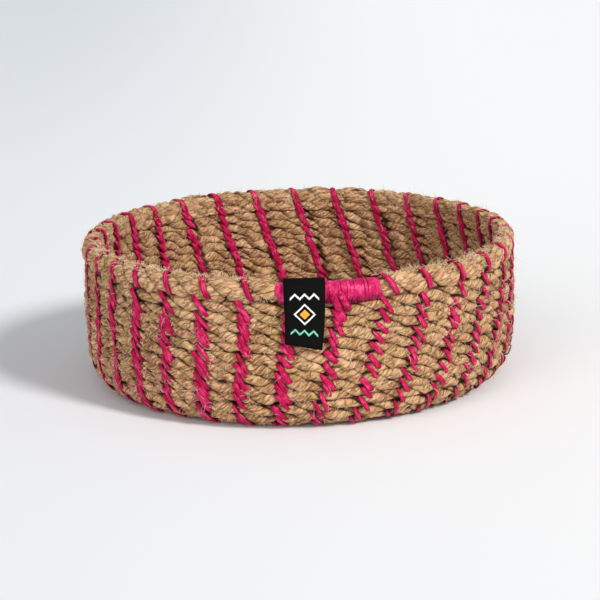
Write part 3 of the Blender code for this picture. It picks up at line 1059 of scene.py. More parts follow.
@dataclass
class CoilRope:
    """The rope of the floor and wall, wound as in the solids but with its plies, pinched at the stitches."""

    form: CoilForm
    plan: SewingPlan
    hand: HandWork
    shade: CoilShade = CoilShade()
    fibres: FibreBundles = FibreBundles(seed=Seed.COIL_FIBRES, counts=(5, 8), slope=0.80)
    lays_per_round: float = 23.96
    half_width: float = 0.00425
    half_height: float = 0.00280
    squareness: float = 0.64
    inner_squareness: float = 0.30
    inner_steepness: float = 0.29
    outer_steepness: float = 0.10
    steepening_steps: int = 12
    inner_crease: float = 0.40
    crease_share: float = 0.40
    crease_power: float = 0.62
    contact_fill: float = 0.8
    fibre_fill: float = 0.6
    pinch_share: float = 0.18
    pinch_sink: float = 0.08
    pinch_reach: float = 0.0028
    pinch_wander: float = 0.35
    pinch_step: float = 0.02
    shade_shift: float = 0.0046
    bulk_wander: float = 0.08
    bulk_shift: float = 0.41
    level_wander: float = 0.00036
    lay_wander: float = 0.0026
    lay_step: float = 1.3
    crease_wander: float = 0.45
    crease_step: float = 0.4
    crease_shift: float = 0.23
    gap_step: float = 0.3
    gap_shift: float = 0.29
    bundle_depth: float = 0.00074
    bundle_level: float = 0.7
    valley_level: float = 0.62
    inside_limit: float = 1.08
    outside_limit: float = 0.0006
    tail_share: float = 0.75
    tail_tip_share: float = 0.22
    table_step: float = 1 / 96
    floor_pieces: int = 2
    floor_fineness: tuple = (20, 36)
    wall_pieces: int = 6
    wall_fineness: tuple = (32, 46)

    @property
    def lay_length(self) -> float:
        """Length of rope in one full twist."""
        return math.tau * self.form.wall_radius / self.lays_per_round

    def length_table(self) -> tuple[Array, Array]:
        """Lengths along the whole rope at steps of its turns.

        Returns:
            Turns, and the length of rope up to each.
        """
        turns = np.linspace(0, self.end_turns(), int(self.end_turns() / self.table_step) + 2)
        radius, height = self.form.profile_at(self.form.run_at(turns))
        azimuth = self.form.azimuth_at(turns)
        line = np.column_stack((radius * np.sin(azimuth), -radius * np.cos(azimuth), height))
        steps = np.linalg.norm(np.diff(line, axis=0), axis=1)
        return turns, np.concatenate(([0.0], np.cumsum(steps)))

    def end_turns(self) -> float:
        """Turns at the tip of the tail."""
        return self.form.top_turns + self.tail_share * (1 - self.form.level_share)

    def split_turns(self) -> float:
        """Turns at which the solids change from floor to wall.

        Returns:
            The turns, at the middle of one of the solids' straight lengths.
        """
        form = self.form
        share = form.floor_run / form.whole_run * form.courses
        return (math.floor(share * form.loop_corners) + 1 / 2) / form.loop_corners

    def steepened(self, turned: Array) -> Array:
        """Turn even angles round the rope so that the creases cross its faces more steeply.

        Args:
            turned: Even angles.

        Returns:
            The angles on the rope.
        """
        around = turned
        for _ in range(self.steepening_steps):
            steepness = np.where(np.cos(around) < 0, self.inner_steepness, self.outer_steepness)
            around = turned + steepness * np.sin(2 * around)
        return around

    def uneven(self, seed: Seed, lays: float, along: Array) -> Array:
        """Unevenness along the rope, from -1 to 1, with a new value every so many twists."""
        return wander(seed, lays * self.lay_length, along)

    def wrap(self, name: str, first: float, last: float, lays: int, rope: RopeMesh) -> Mesh:
        """Make the plied rope between two places of the coil.

        Args:
            name: Name of the mesh.
            first: Turns at the start.
            last: Turns at the end.
            lays: Full twists between them.
            rope: How finely the rope is made.

        Returns:
            The closed mesh, with its map and the painted shade of its crevices.
        """
        form = self.form
        turns, lengths = self.length_table()
        start, end = np.interp((first, last), turns, lengths)
        mesh = rope.straight(name, lays)
        straight = points_of(mesh)
        along = start + straight[:, 0] / lays * (end - start)
        ends = np.clip(np.minimum(along, lengths[-1] - along) / self.lay_length, 0, 1)
        along = along + self.lay_wander * ends * self.uneven(Seed.COIL_TWIST, self.lay_step, along)
        place = np.interp(along, lengths, turns)
        turned = np.arctan2(straight[:, 2], straight[:, 1])
        from_ply = turned + math.tau * straight[:, 0]
        around = self.steepened(turned)
        ply = np.where(np.cos(from_ply) > 0, 0.0, 1.0)
        run = form.run_at(place)
        azimuth = form.azimuth_at(place)
        steep = form.steepness_at(run)
        middle_radius = form.profile_at(run)[0]
        near = self.plan.nearness(azimuth, run, middle_radius, self.pinch_reach)
        # painted shadow to the right of each row of stitches, seen from inside
        shaded = azimuth + self.shade_shift / middle_radius
        beside = self.plan.nearness(shaded, run, middle_radius, self.pinch_reach)
        bulk = 1 + self.bulk_wander * self.uneven(Seed.COIL_BULK, 0.25, along)
        bulk += self.bulk_wander * self.uneven(Seed.COIL_PLY_BULK, 0.2, along + self.bulk_shift * ply)
        tail = np.clip((place - form.top_turns) / (self.tail_share * (1 - form.level_share)), 0, 1)
        bulk *= 1 - (1 - self.tail_tip_share) * tail
        filled = self.contact_fill * np.sin(around) ** 2
        inner = np.clip(-np.cos(around), 0, 1) ** 0.5 * np.sin(steep)
        by_ply = self.uneven(Seed.COIL_CREASE, self.crease_step, along + self.crease_shift * ply)
        depth = 1 + self.crease_wander * by_ply + self.inner_crease * inner
        by_face = np.where(around > 0, self.gap_shift, 0)
        gap = 0.5 + 0.5 * self.uneven(Seed.COIL_GAP, self.gap_step, along + by_face)
        lobe = 1 - (1 - np.hypot(straight[:, 1], straight[:, 2])) * (1 - filled) * depth
        relief = self.fibres.relief(along, around, ply, self.half_height)
        relief *= 1 - self.fibre_fill * filled
        pinch_depth = 1 + self.pinch_wander * wander(Seed.COIL_PINCH, self.pinch_step, along)
        pinch = 1 - self.pinch_share * near * pinch_depth
        boxing = np.where(np.cos(around) < 0, self.inner_squareness, self.squareness)
        boxed = np.sign(np.cos(around)) * np.abs(np.cos(around)) ** (1 + (boxing - 1) * np.sin(steep))
        off = boxed * lobe * self.half_width * bulk * pinch
        off += self.bundle_depth * (relief - self.bundle_level) * np.cos(around) * (1 - tail)
        most = self.half_width + self.outside_limit * np.sin(steep)
        off = np.clip(off, -self.half_width * self.inside_limit, most)
        up = np.sin(around) * lobe * self.half_height * bulk * (1 - self.pinch_sink * near)
        up += self.level_wander * self.uneven(Seed.COIL_LEVEL, 1.0, along)
        up += form.rope_height / 2 * (1 - self.tail_tip_share) * tail
        radius, height = form.profile_at(run, off)
        radius = radius + up * np.cos(steep)
        height = np.maximum(height + up * np.sin(steep), 0)
        set_points(mesh, np.column_stack((radius * np.sin(azimuth), -radius * np.cos(azimuth), height)))
        self.hand.settle(mesh)
        # painted shade: ply creases, gaps between courses, hollows by the stitches and valleys between fibre
        # bundles
        crease = 1 - np.abs(np.cos(from_ply)) ** 0.5
        contact = np.abs(np.sin(around)) ** 5
        valley = np.clip(self.valley_level - relief, 0, 1)
        flank = np.abs(np.sin(around)) ** 2
        shade = self.shade
        between = (shade.course_gap * gap**2 + shade.course_stitch * near) * contact
        crevice_shade = shade.ply_crease * crease * depth + between * (1 - shade.inside_contact * inner)
        crevice_shade += shade.under_stitch * near**2 + shade.valley * valley + shade.ply_flank * crease**2 * flank
        crevice_shade += shade.level + shade.inside * inner + shade.ply_side * (1 - np.abs(np.cos(from_ply)))
        crevice_shade += inner * beside**2 * (shade.row_shadow + shade.row_shadow_flank * flank)
        # store the painted crevice shade for the jute finish
        store_value(mesh, "crevice_shade", np.clip(crevice_shade, 0, 1))
        store_lay_map(mesh, along, around + math.tau * straight[:, 0], math.tau * self.half_height)
        close_ends(mesh)
        return mesh

    def cuts(self, first: float, last: float, count: int) -> list[tuple[float, float, int]]:
        """Cut a stretch of rope into pieces of whole twists.

        Args:
            first: Turns at the start.
            last: Turns at the end.
            count: Number of pieces.

        Returns:
            Turns at the start and end of each piece, and its twists.
        """
        turns, lengths = self.length_table()
        start, end = np.interp((first, last), turns, lengths)
        lays = round((end - start) / self.lay_length)
        places = [round(lays * index / count) for index in range(count + 1)]
        at = [float(np.interp(start + (end - start) * place / lays, lengths, turns)) for place in places]
        return [(at[index], at[index + 1], places[index + 1] - places[index]) for index in range(count)]

    def build(self, material: Material) -> None:
        """Make the floor and the wall, divided where the solids are and then into shorter lengths.

        Args:
            material: Finish of the rope.
        """
        split = self.split_turns()
        coarse = RopeMesh(*self.floor_fineness, self.crease_share, self.crease_power)
        fine = RopeMesh(*self.wall_fineness, self.crease_share, self.crease_power)
        for part, node, rope, places in (
            ("floor_rope", "floor_coil", coarse, self.cuts(0.0, split, self.floor_pieces)),
            ("wall_rope", "wall_coil", fine, self.cuts(split, self.end_turns(), self.wall_pieces)),
        ):
            for index, (first, last, lays) in enumerate(places):
                name = f"{part}_{index + 1}"
                mesh = self.wrap(name, first, last, lays, rope)
                place_piece(name, mesh, material, [node])


@dataclass(frozen=True)
class RimForm:
    """Section of the rim rope as the eye sees it, with its loose fibres pressed on."""

    level: float
    half_width: float = 0.0046
    half_height: float = 0.0062
    back_half_height: float = 0.0050
    lift: float = 0.0005
    stitch_first: float = math.radians(-64.0)
    stitch_last: float = math.radians(236.0)
    outside_sway: float = 0.0050
    inside_sway: float = 0.0038
    back_shift: float = 0.0036
    back_start: float = 0.12
    back_ease: float = 0.35

    @classmethod
    def above(cls, form: CoilForm) -> "RimForm":
        """The rim that sits on a coil."""
        return cls(level=form.rim_level + cls.lift)

    def half_height_at(self, azimuth: Array) -> Array:
        """Half of the rim rope's height, less at the back."""
        back = (0.5 - 0.5 * np.cos(azimuth)) ** 0.8
        return self.half_height + (self.back_half_height - self.half_height) * back

    def level_at(self, azimuth: Array) -> Array:
        """Height of the rim rope's middle line, whose top stays level."""
        return self.level + self.half_height - self.half_height_at(azimuth)

    def at_back(self, azimuth: Array) -> Array:
        """Share of the back's form at an azimuth, from 0 at the front to 1."""
        return np.clip((0.5 - 0.5 * np.cos(azimuth) - self.back_start) / self.back_ease, 0, 1)

    def stitch_sway(self, around: Array, azimuth: Array) -> Array:
        """Distance of a rim stitch from its row, + anticlockwise.

        Args:
            around: Angle round the rim rope.
            azimuth: Azimuth of the row.

        Returns:
            One value for each angle.
        """
        quarter = math.pi / 2
        shift = self.back_shift * self.at_back(azimuth)
        outside = (self.outside_sway - shift) * (quarter - around) / (quarter - self.stitch_first)
        inside = -self.inside_sway * (around - quarter) / (self.stitch_last - quarter)
        return shift + np.where(around < quarter, outside, inside)


@dataclass(frozen=True)
class RimShade:
    """How strongly painted shade darkens each hollow of the rim rope, from 0 to 1."""

    level: float = -0.12
    ply_crease: float = 0.7
    ply_underside: float = 0.9
    groove: float = 0.4
    groove_wander: float = 0.5
    groove_step: float = 0.009
    under_stitch: float = 0.35
    valley: float = 1.3
    fold_shade: float = 0.55
    fold_edge: float = 0.8
    fold_valley: float = 0.4


@dataclass
class RimRope:
    """The thicker rope on top of the wall, thinned inside the binding."""

    form: CoilForm
    plan: SewingPlan
    rim: RimForm
    shade: RimShade = RimShade()
    fibres: FibreBundles = FibreBundles(
        seed=Seed.RIM_FIBRES, counts=(4, 7), slope=1.05, wander=2.2, wander_step=0.009
    )
    lays: int = 18
    bound_share: float = 0.66
    bound_reach: float = 0.35
    sides: int = 60
    rings_per_lay: int = 76
    crease_share: float = 0.25
    crease_power: float = 0.6
    pinch_share: float = 0.19
    pinch_reach: float = 0.0034
    taper_angle: float = math.radians(2.5)
    taper_start: float = 0.15
    bulk_wander: float = 0.05
    bulk_step: float = 0.011
    ply_wander: float = 0.04
    ply_step: float = 0.005
    line_wander: float = 0.0003
    radius_step: float = 0.02
    level_step: float = 0.025
    bundle_depth: float = 0.00160
    bundle_level: float = 0.75
    valley_level: float = 0.66
    left_swell: float = 0.16
    upper_half_height: float = 0.0034
    strand_lay: float = 0.0266
    strand_crease: float = 0.36
    fold_depth: float = 0.0013
    fold_ease: float = 0.4
    fold_wander: float = 0.5
    fold_step: float = 0.010

    def inner_face(self, height: Array, along: Array) -> tuple[Array, Array]:
        """Inner face of the rim at the back, where its lower strand is as thick as a course.

        Args:
            height: Height of each point.
            along: Distance along the rim of each point.

        Returns:
            How far each point stands inward of the rope's middle line, and the painted shade of its creases
            and lower edge.
        """
        form = self.form
        top = self.rim.level + self.rim.half_height
        upper = np.clip((height - top + self.upper_half_height) / self.upper_half_height, -1, 1)
        low = (height - form.top_course_level - form.course_pitch) / (form.course_pitch / 2)
        low = np.clip(low, -1, 1)
        share = np.where(height > top - 2 * self.upper_half_height, upper, low)
        twist = math.pi - np.arcsin(share) + math.tau * along / self.strand_lay
        depth = 1 + self.fold_wander * wander(Seed.RIM_FOLD, self.fold_step, along)
        crease = (1 - np.abs(np.cos(twist)) ** 0.6) * depth
        bulge = self.rim.half_width - self.fold_depth * (1 - (1 - share**2) ** 0.5)
        inward = bulge - self.strand_crease * self.rim.half_width * 0.5 * crease * (1 - share**2)
        # painted shade in the fold's creases and on its lower edge
        shade = self.shade.fold_shade * crease + self.shade.fold_edge * share**8
        return inward, np.clip(shade, 0, 1)

    def build(self, material: Material) -> None:
        """Make the rim from one end of the binding round to the other.

        Args:
            material: Finish of the rim rope.
        """
        form = self.form
        plan = self.plan
        rope = RopeMesh(self.sides, self.rings_per_lay, self.crease_share, self.crease_power)
        mesh = rope.straight("rim", self.lays)
        straight = points_of(mesh)
        passed = straight[:, 0] / self.lays
        inside_binding = plan.binding_angle * self.bound_reach
        start = plan.binding_start + plan.binding_angle - inside_binding
        sweep = math.tau - plan.binding_angle + 2 * inside_binding
        azimuth = start + sweep * passed
        around = np.arctan2(straight[:, 2], straight[:, 1])
        from_ply = around + math.tau * straight[:, 0]
        ply = np.where(np.cos(from_ply) > 0, 0.0, 1.0)
        lobe = np.hypot(straight[:, 1], straight[:, 2])
        along = passed * sweep * form.wall_radius
        to_binding = np.minimum(azimuth - start, start + sweep - azimuth) - inside_binding
        free = np.clip(to_binding / self.taper_angle + self.taper_start, 0, 1)
        free = free * free * (3 - 2 * free)
        size = self.bound_share + (1 - self.bound_share) * free
        wound = (around - self.rim.stitch_first) % math.tau + self.rim.stitch_first
        row_azimuth = azimuth - self.rim.stitch_sway(wound, azimuth) / form.wall_radius
        top_run = np.full_like(azimuth, form.whole_run)
        near = plan.nearness(row_azimuth, top_run, form.wall_radius, self.pinch_reach)
        bulk = 1 + self.bulk_wander * wander(Seed.RIM_BULK, self.bulk_step, along)
        bulk += self.ply_wander * wander(Seed.RIM_PLY_BULK, self.ply_step, along + 0.4 * ply)
        relief = self.fibres.relief(along, around, ply, self.rim.half_height)
        size = size * lobe * bulk * (1 - self.pinch_share * near * free)
        wide = 1 + self.left_swell * np.clip(-np.sin(azimuth), 0, 1) ** 3
        ridge = self.bundle_depth * (relief - self.bundle_level) * free
        radius = form.wall_radius + np.cos(around) * (size * self.rim.half_width * wide + ridge)
        radius += self.line_wander * wander(Seed.RIM_RADIUS, self.radius_step, along)
        level = self.rim.level_at(azimuth)
        reach_down = level - self.rim.level + self.rim.half_height
        reach = np.where(around > 0, self.rim.half_height_at(azimuth), reach_down)
        height = level + np.sin(around) * (size * reach + ridge)
        height += self.line_wander * wander(Seed.RIM_LEVEL, self.level_step, along)
        facing_in = np.clip(-np.cos(around) / self.fold_ease, 0, 1)
        folded = self.rim.at_back(azimuth) * facing_in * facing_in * (3 - 2 * facing_in)
        inward, fold_shade = self.inner_face(height, along)
        face = form.wall_radius - inward * (1 - self.pinch_share * near) - 0.5 * ridge
        radius += (face - radius) * folded
        set_points(mesh, np.column_stack((radius * np.sin(azimuth), -radius * np.cos(azimuth), height)))
        # painted shade: ply creases, the groove under the rim, hollows by the stitches and valleys between
        # fibre bundles
        crease = 1 - np.abs(np.cos(from_ply)) ** 0.4
        contact = np.clip(-np.sin(around), 0, 1) ** 5
        valley = np.clip(self.valley_level - relief, 0, 1)
        shade = self.shade
        groove = shade.groove + shade.groove_wander * wander(Seed.RIM_GROOVE, shade.groove_step, along)
        crevice_shade = shade.ply_crease * crease + groove * contact + shade.valley * valley
        crevice_shade += shade.under_stitch * near**2 + shade.level
        crevice_shade += shade.ply_underside * crease * np.clip(-np.sin(around), 0, 1) ** 2
        crevice_shade += (fold_shade + shade.fold_valley * valley - crevice_shade) * folded
        store_value(mesh, "crevice_shade", np.clip(crevice_shade, 0, 1))
        store_lay_map(mesh, along, from_ply, math.tau * self.rim.half_height)
        close_ends(mesh)
        place_piece("rim", mesh, material, ["rim_rope"])


def in_row_frame(radius: float, away: float, height: float) -> Vector:
    """A point in a row's frame: X is out from the axis, Y is up and Z is clockwise round the basket."""
    return Vector((radius * math.cos(away), height, -radius * math.sin(away)))


def row_matrix(azimuth: float) -> Matrix:
    """The turn that takes a row's frame to its place on the basket."""
    return Matrix.Rotation(azimuth - math.pi / 2, 4, "Z") @ Matrix.Rotation(math.pi / 2, 4, "X")


@dataclass(frozen=True)
class Section:
    """Oval section of a yarn."""

    half_width: float
    half_thickness: float
    sides: int

    def outline(self) -> Piece:
        """Draw the section clockwise as a hidden curve, its width along Y.

        Returns:
            The curve.
        """
        curve = bpy.data.curves.new("outline", "CURVE")
        curve.dimensions = "2D"
        spline = curve.splines.new("POLY")
        spline.points.add(self.sides - 1)
        for index, point in enumerate(spline.points):
            around = math.tau * index / self.sides
            point.co = (self.half_thickness * math.sin(around), self.half_width * math.cos(around), 0, 1)
        spline.use_cyclic_u = True
        guide = linked("outline", curve)
        guide.hide_render = True
        return guide


def swept_mesh(name: str, strands: list[Strand], section: Section, matrix: Matrix) -> Mesh:
    """Sweep a section along strands of points and give the closed mesh in the basket's frame.

    Args:
        name: Name of the mesh.
        strands: For each strand its points, each with the share of the full section there.
        section: The section.
        matrix: The turn from the strands' frame to the basket's.

    Returns:
        The mesh.
    """
    curve = bpy.data.curves.new(name, "CURVE")
    curve.dimensions = "3D"
    curve.twist_mode = "Z_UP"
    curve.use_fill_caps = True
    curve.bevel_mode = "OBJECT"
    curve.bevel_object = section.outline()
    for strand in strands:
        spline = curve.splines.new("POLY")
        spline.points.add(len(strand) - 1)
        for point, (place, share) in zip(spline.points, strand):
            point.co = (*place, 1)
            point.radius = share
        spline.use_smooth = True
    mesh = finished_mesh(linked(name, curve))
    bpy.data.objects.remove(curve.bevel_object)
    bpy.data.curves.remove(curve)
    bm = bmesh.new()
    bm.from_mesh(mesh)
    bmesh.ops.remove_doubles(bm, verts=bm.verts[:], dist=0.000001)
    bmesh.ops.transform(bm, matrix=matrix, verts=bm.verts[:])
    bmesh.ops.recalc_face_normals(bm, faces=bm.faces[:])
    for face in bm.faces:
        face.smooth = True
    bm.to_mesh(mesh)
    bm.free()
    mesh.name = name
    return mesh


@dataclass
class StitchRows:
    """Rows of slanting stitches. Each is one strand that shows in bars outside and inside."""

    form: CoilForm
    plan: SewingPlan
    rim: RimForm
    hand: HandWork
    section: Section = Section(0.00150, 0.00066, 8)
    bar_top_share: float = 0.62
    bar_bottom_share: float = -1.28
    top_play: float = 0.16
    bottom_play: float = 0.34
    bar_slant: float = 0.00290
    slant_play: tuple = (0.6, 1.2)
    outside_shift: float = 0.0016
    outside_play: float = 0.0010
    inside_shift: float = -0.0014
    inside_play: float = 0.0004
    inside_slant: float = 0.00260
    inside_slant_play: tuple = (0.7, 1.3)
    first_bar_rise: float = 0.45
    inside_top_share: float = 0.70
    inside_bottom_share: float = -0.85
    surface_offset: float = 0.00392
    floor_offset: float = 0.00362
    hidden_offset: float = 0.0018
    least_run: float = 0.001
    least_radius: float = 0.01
    inside_limit: float = 1.9
    rise_rate: float = 1.9
    height_play: tuple = (-0.00010, 0.00025)
    overlap_lift: float = 0.00045
    overlap_from: float = 0.35
    end_share: float = 0.72
    left_reach: float = 0.20
    left_slant: float = 0.45
    side_upright: float = 0.30
    right_thin: float = 0.24
    side_thin: float = 0.30
    bar_points: int = 9
    width_play: tuple = (0.76, 1.12)
    inside_width_play: tuple = (0.92, 1.16)
    double_chance: float = 0.16
    double_drop: float = 0.3
    double_share: float = 0.8
    rim_surface_share: float = 0.95
    rim_hidden_share: float = 0.55
    rim_slant_play: tuple = (0.75, 1.2)
    rim_width_play: tuple = (0.85, 1.12)
    rim_points: int = 15
    last_bar_share: float = 1.15
    thick_row: int = 1
    thick_share: float = 1.25
    diagonal_row: int = 2
    diagonal_slant: float = 1.5
    diagonal_shift: float = math.radians(0.6)
    frame_share: float = 0.8
    sunk_start: float = 0.97
    sunk_depth: float = 0.22

    def bar(
        self, index: int, run: float, side: Side, draw: random.Random, middle: float, thick: float = 1.0
    ) -> Strand:
        """One stitch across a course, from its upper end to its lower end.

        Args:
            index: Number of the row.
            run: Run of the course that it crosses.
            side: Which face it lies on.
            draw: Source of the hand's wander.
            middle: Azimuth of the row's frame.
            thick: Share of the usual width.

        Returns:
            Points and section shares, sunk into the rope at both ends.
        """
        form = self.form
        outside = side is Side.OUTSIDE
        top = self.bar_top_share if outside else self.inside_top_share
        top += draw.uniform(-self.top_play, self.top_play)
        bottom = self.bar_bottom_share if outside else self.inside_bottom_share
        bottom += draw.uniform(-self.bottom_play, self.bottom_play)
        slant = self.bar_slant if outside else -self.inside_slant
        slant *= draw.uniform(*(self.slant_play if outside else self.inside_slant_play))
        leftness = -math.sin(self.plan.top_azimuth(index))
        if outside:
            bottom *= 1 + self.left_reach * leftness
            left = max(0.0, leftness)
            slant *= 1 + self.left_slant * 4 * left * (1 - left) - self.side_upright * left**4
            thick *= 1 - self.side_thin * left**6 - self.right_thin * max(0.0, -leftness)
        shift = self.outside_shift if outside else self.inside_shift
        play = self.outside_play if outside else self.inside_play
        shift += draw.uniform(-play, play)
        if outside and run > form.whole_run - 0.5 * form.course_pitch:
            top += self.first_bar_rise
        limit = form.whole_run + form.course_pitch * (1.0 if outside else self.inside_limit)
        steep = float(form.steepness_at(run))
        crest = self.surface_offset
        if outside:
            crest = self.floor_offset + (self.surface_offset - self.floor_offset) * math.sin(steep)
        crest += draw.uniform(*self.height_play) * math.sin(steep)
        points = []
        for step in range(self.bar_points):
            passed = step / (self.bar_points - 1)
            arch = math.sin(math.pi * passed)
            here = run + form.course_pitch * (top + (bottom - top) * passed)
            here = min(max(here, self.least_run), limit)
            rise = min(1.0, arch * self.rise_rate) ** 0.8
            over = crest + self.overlap_lift * (passed - self.overlap_from) * math.sin(steep)
            offset = (self.hidden_offset + (over - self.hidden_offset) * rise) * side.value
            radius, height = (float(value) for value in form.profile_at(here, offset))
            sway = slant * (2 * passed - 1) + shift
            away = float(self.plan.azimuth(index, run)) + sway / max(radius, self.least_radius) - middle
            share = self.end_share + (1 - self.end_share) * min(1.0, arch * 2)
            points.append((in_row_frame(radius, away, height), thick * share))
        return points

    def over_rim(self, index: int, draw: random.Random, middle: float) -> Strand:
        """The stitch that goes over the rim rope, from outside to inside.

        Args:
            index: Number of the row.
            draw: Source of the hand's wander.
            middle: Azimuth of the row's frame.

        Returns:
            Points and section shares.
        """
        slant = draw.uniform(*self.rim_slant_play)
        thick = draw.uniform(*self.rim_width_play)
        azimuth = self.plan.top_azimuth(index)
        if index == self.diagonal_row:
            slant *= self.diagonal_slant
            azimuth += self.diagonal_shift
        points = []
        for step in range(self.rim_points):
            passed = step / (self.rim_points - 1)
            around = self.rim.stitch_first + (self.rim.stitch_last - self.rim.stitch_first) * passed
            arch = math.sin(math.pi * passed)
            rise = min(1.0, arch * 4)
            share = self.rim_hidden_share + (self.rim_surface_share - self.rim_hidden_share) * rise
            out = math.cos(around)
            if out < 0:
                out = -(abs(out) ** (1 - 0.6 * float(self.rim.at_back(azimuth))))
            radius = self.form.wall_radius + share * self.rim.half_width * out
            height = float(self.rim.level_at(azimuth))
            height += share * float(self.rim.half_height_at(azimuth)) * math.sin(around)
            away = azimuth + slant * float(self.rim.stitch_sway(around, azimuth)) / radius - middle
            wide = thick * (0.85 + 0.25 * abs(math.cos(around)))
            points.append((in_row_frame(radius, away, height), wide * (0.5 + 0.5 * min(1.0, arch * 3))))
        return points

    def strands(self, index: int, draw: random.Random, middle: float) -> list[Strand]:
        """The strands of a row: one, or two where the binding covers the rim, and the doubled bars.

        Args:
            index: Number of the row.
            draw: Source of the hand's wander.
            middle: Azimuth of the row's frame.

        Returns:
            Points and section shares of each strand.
        """
        outside = []
        inside = []
        doubled = []
        for run in self.plan.course_runs(index):
            near_top = run > self.form.whole_run - 1.5 * self.form.course_pitch
            is_thick = index == self.thick_row and near_top
            thick = self.thick_share if is_thick else draw.uniform(*self.width_play)
            outside += reversed(self.bar(index, run, Side.OUTSIDE, draw, middle, thick))
            thick = draw.uniform(*self.inside_width_play)
            inside += reversed(self.bar(index, run, Side.INSIDE, draw, middle, thick))
            chance = self.double_chance * (1 - math.sin(self.plan.top_azimuth(index)))
            if draw.random() < chance and run > self.form.floor_run:
                lower = run - self.double_drop * self.form.course_pitch
                doubled.append(self.bar(index, lower, Side.OUTSIDE, draw, middle, self.double_share))
        if self.plan.is_bound(index) and index != self.diagonal_row:
            return [outside, inside, *doubled]
        under_rim = self.form.whole_run + self.form.course_pitch
        inside += reversed(self.bar(index, under_rim, Side.INSIDE, draw, middle, self.last_bar_share))
        return [outside + self.over_rim(index, draw, middle) + list(reversed(inside)), *doubled]

    def store_sunk_shade(self, mesh: Mesh) -> None:
        """Store the painted shade of each point of a yarn by how deep it lies in the rope: 0 on the surface
        and 1 inside.

        Args:
            mesh: The yarn.
        """
        points = points_of(mesh)
        radius = np.hypot(points[:, 0], points[:, 1])
        wall = np.abs(self.form.offset_of(radius, points[:, 2])) / self.surface_offset
        azimuth = np.arctan2(points[:, 0], -points[:, 1])
        level, half_height = self.rim.level_at(azimuth), self.rim.half_height_at(azimuth)
        out = (radius - self.form.wall_radius) / self.rim.half_width
        rim = np.hypot(out, (points[:, 2] - level) / half_height)
        share = np.where(points[:, 2] > level - 0.8 * half_height, np.maximum(rim, wall * 0.9), wall)
        # painted shade, deeper where the yarn sinks into the rope
        store_value(mesh, "yarn_shade", np.clip((self.sunk_start - share) / self.sunk_depth, 0, 1))

    def build(self, material: Material) -> None:
        """Sew every row.

        Args:
            material: Finish of the yarn.
        """
        for index in range(self.plan.row_count):
            draw = random.Random(Seed.FIRST_ROW + index)
            middle = float(self.plan.azimuth(index, self.form.whole_run * self.frame_share))
            name = f"stitch_row_{index + 1:02d}"
            nodes = [f"{name}_outside", f"{name}_inside"] if self.plan.is_bound(index) else [name]
            strands = self.strands(index, draw, middle)
            mesh = swept_mesh(f"yarn_{name}", strands, self.section, row_matrix(middle))
            self.store_sunk_shade(mesh)
            self.hand.settle(mesh)
            place_piece(f"yarn_{name}", mesh, material, nodes)


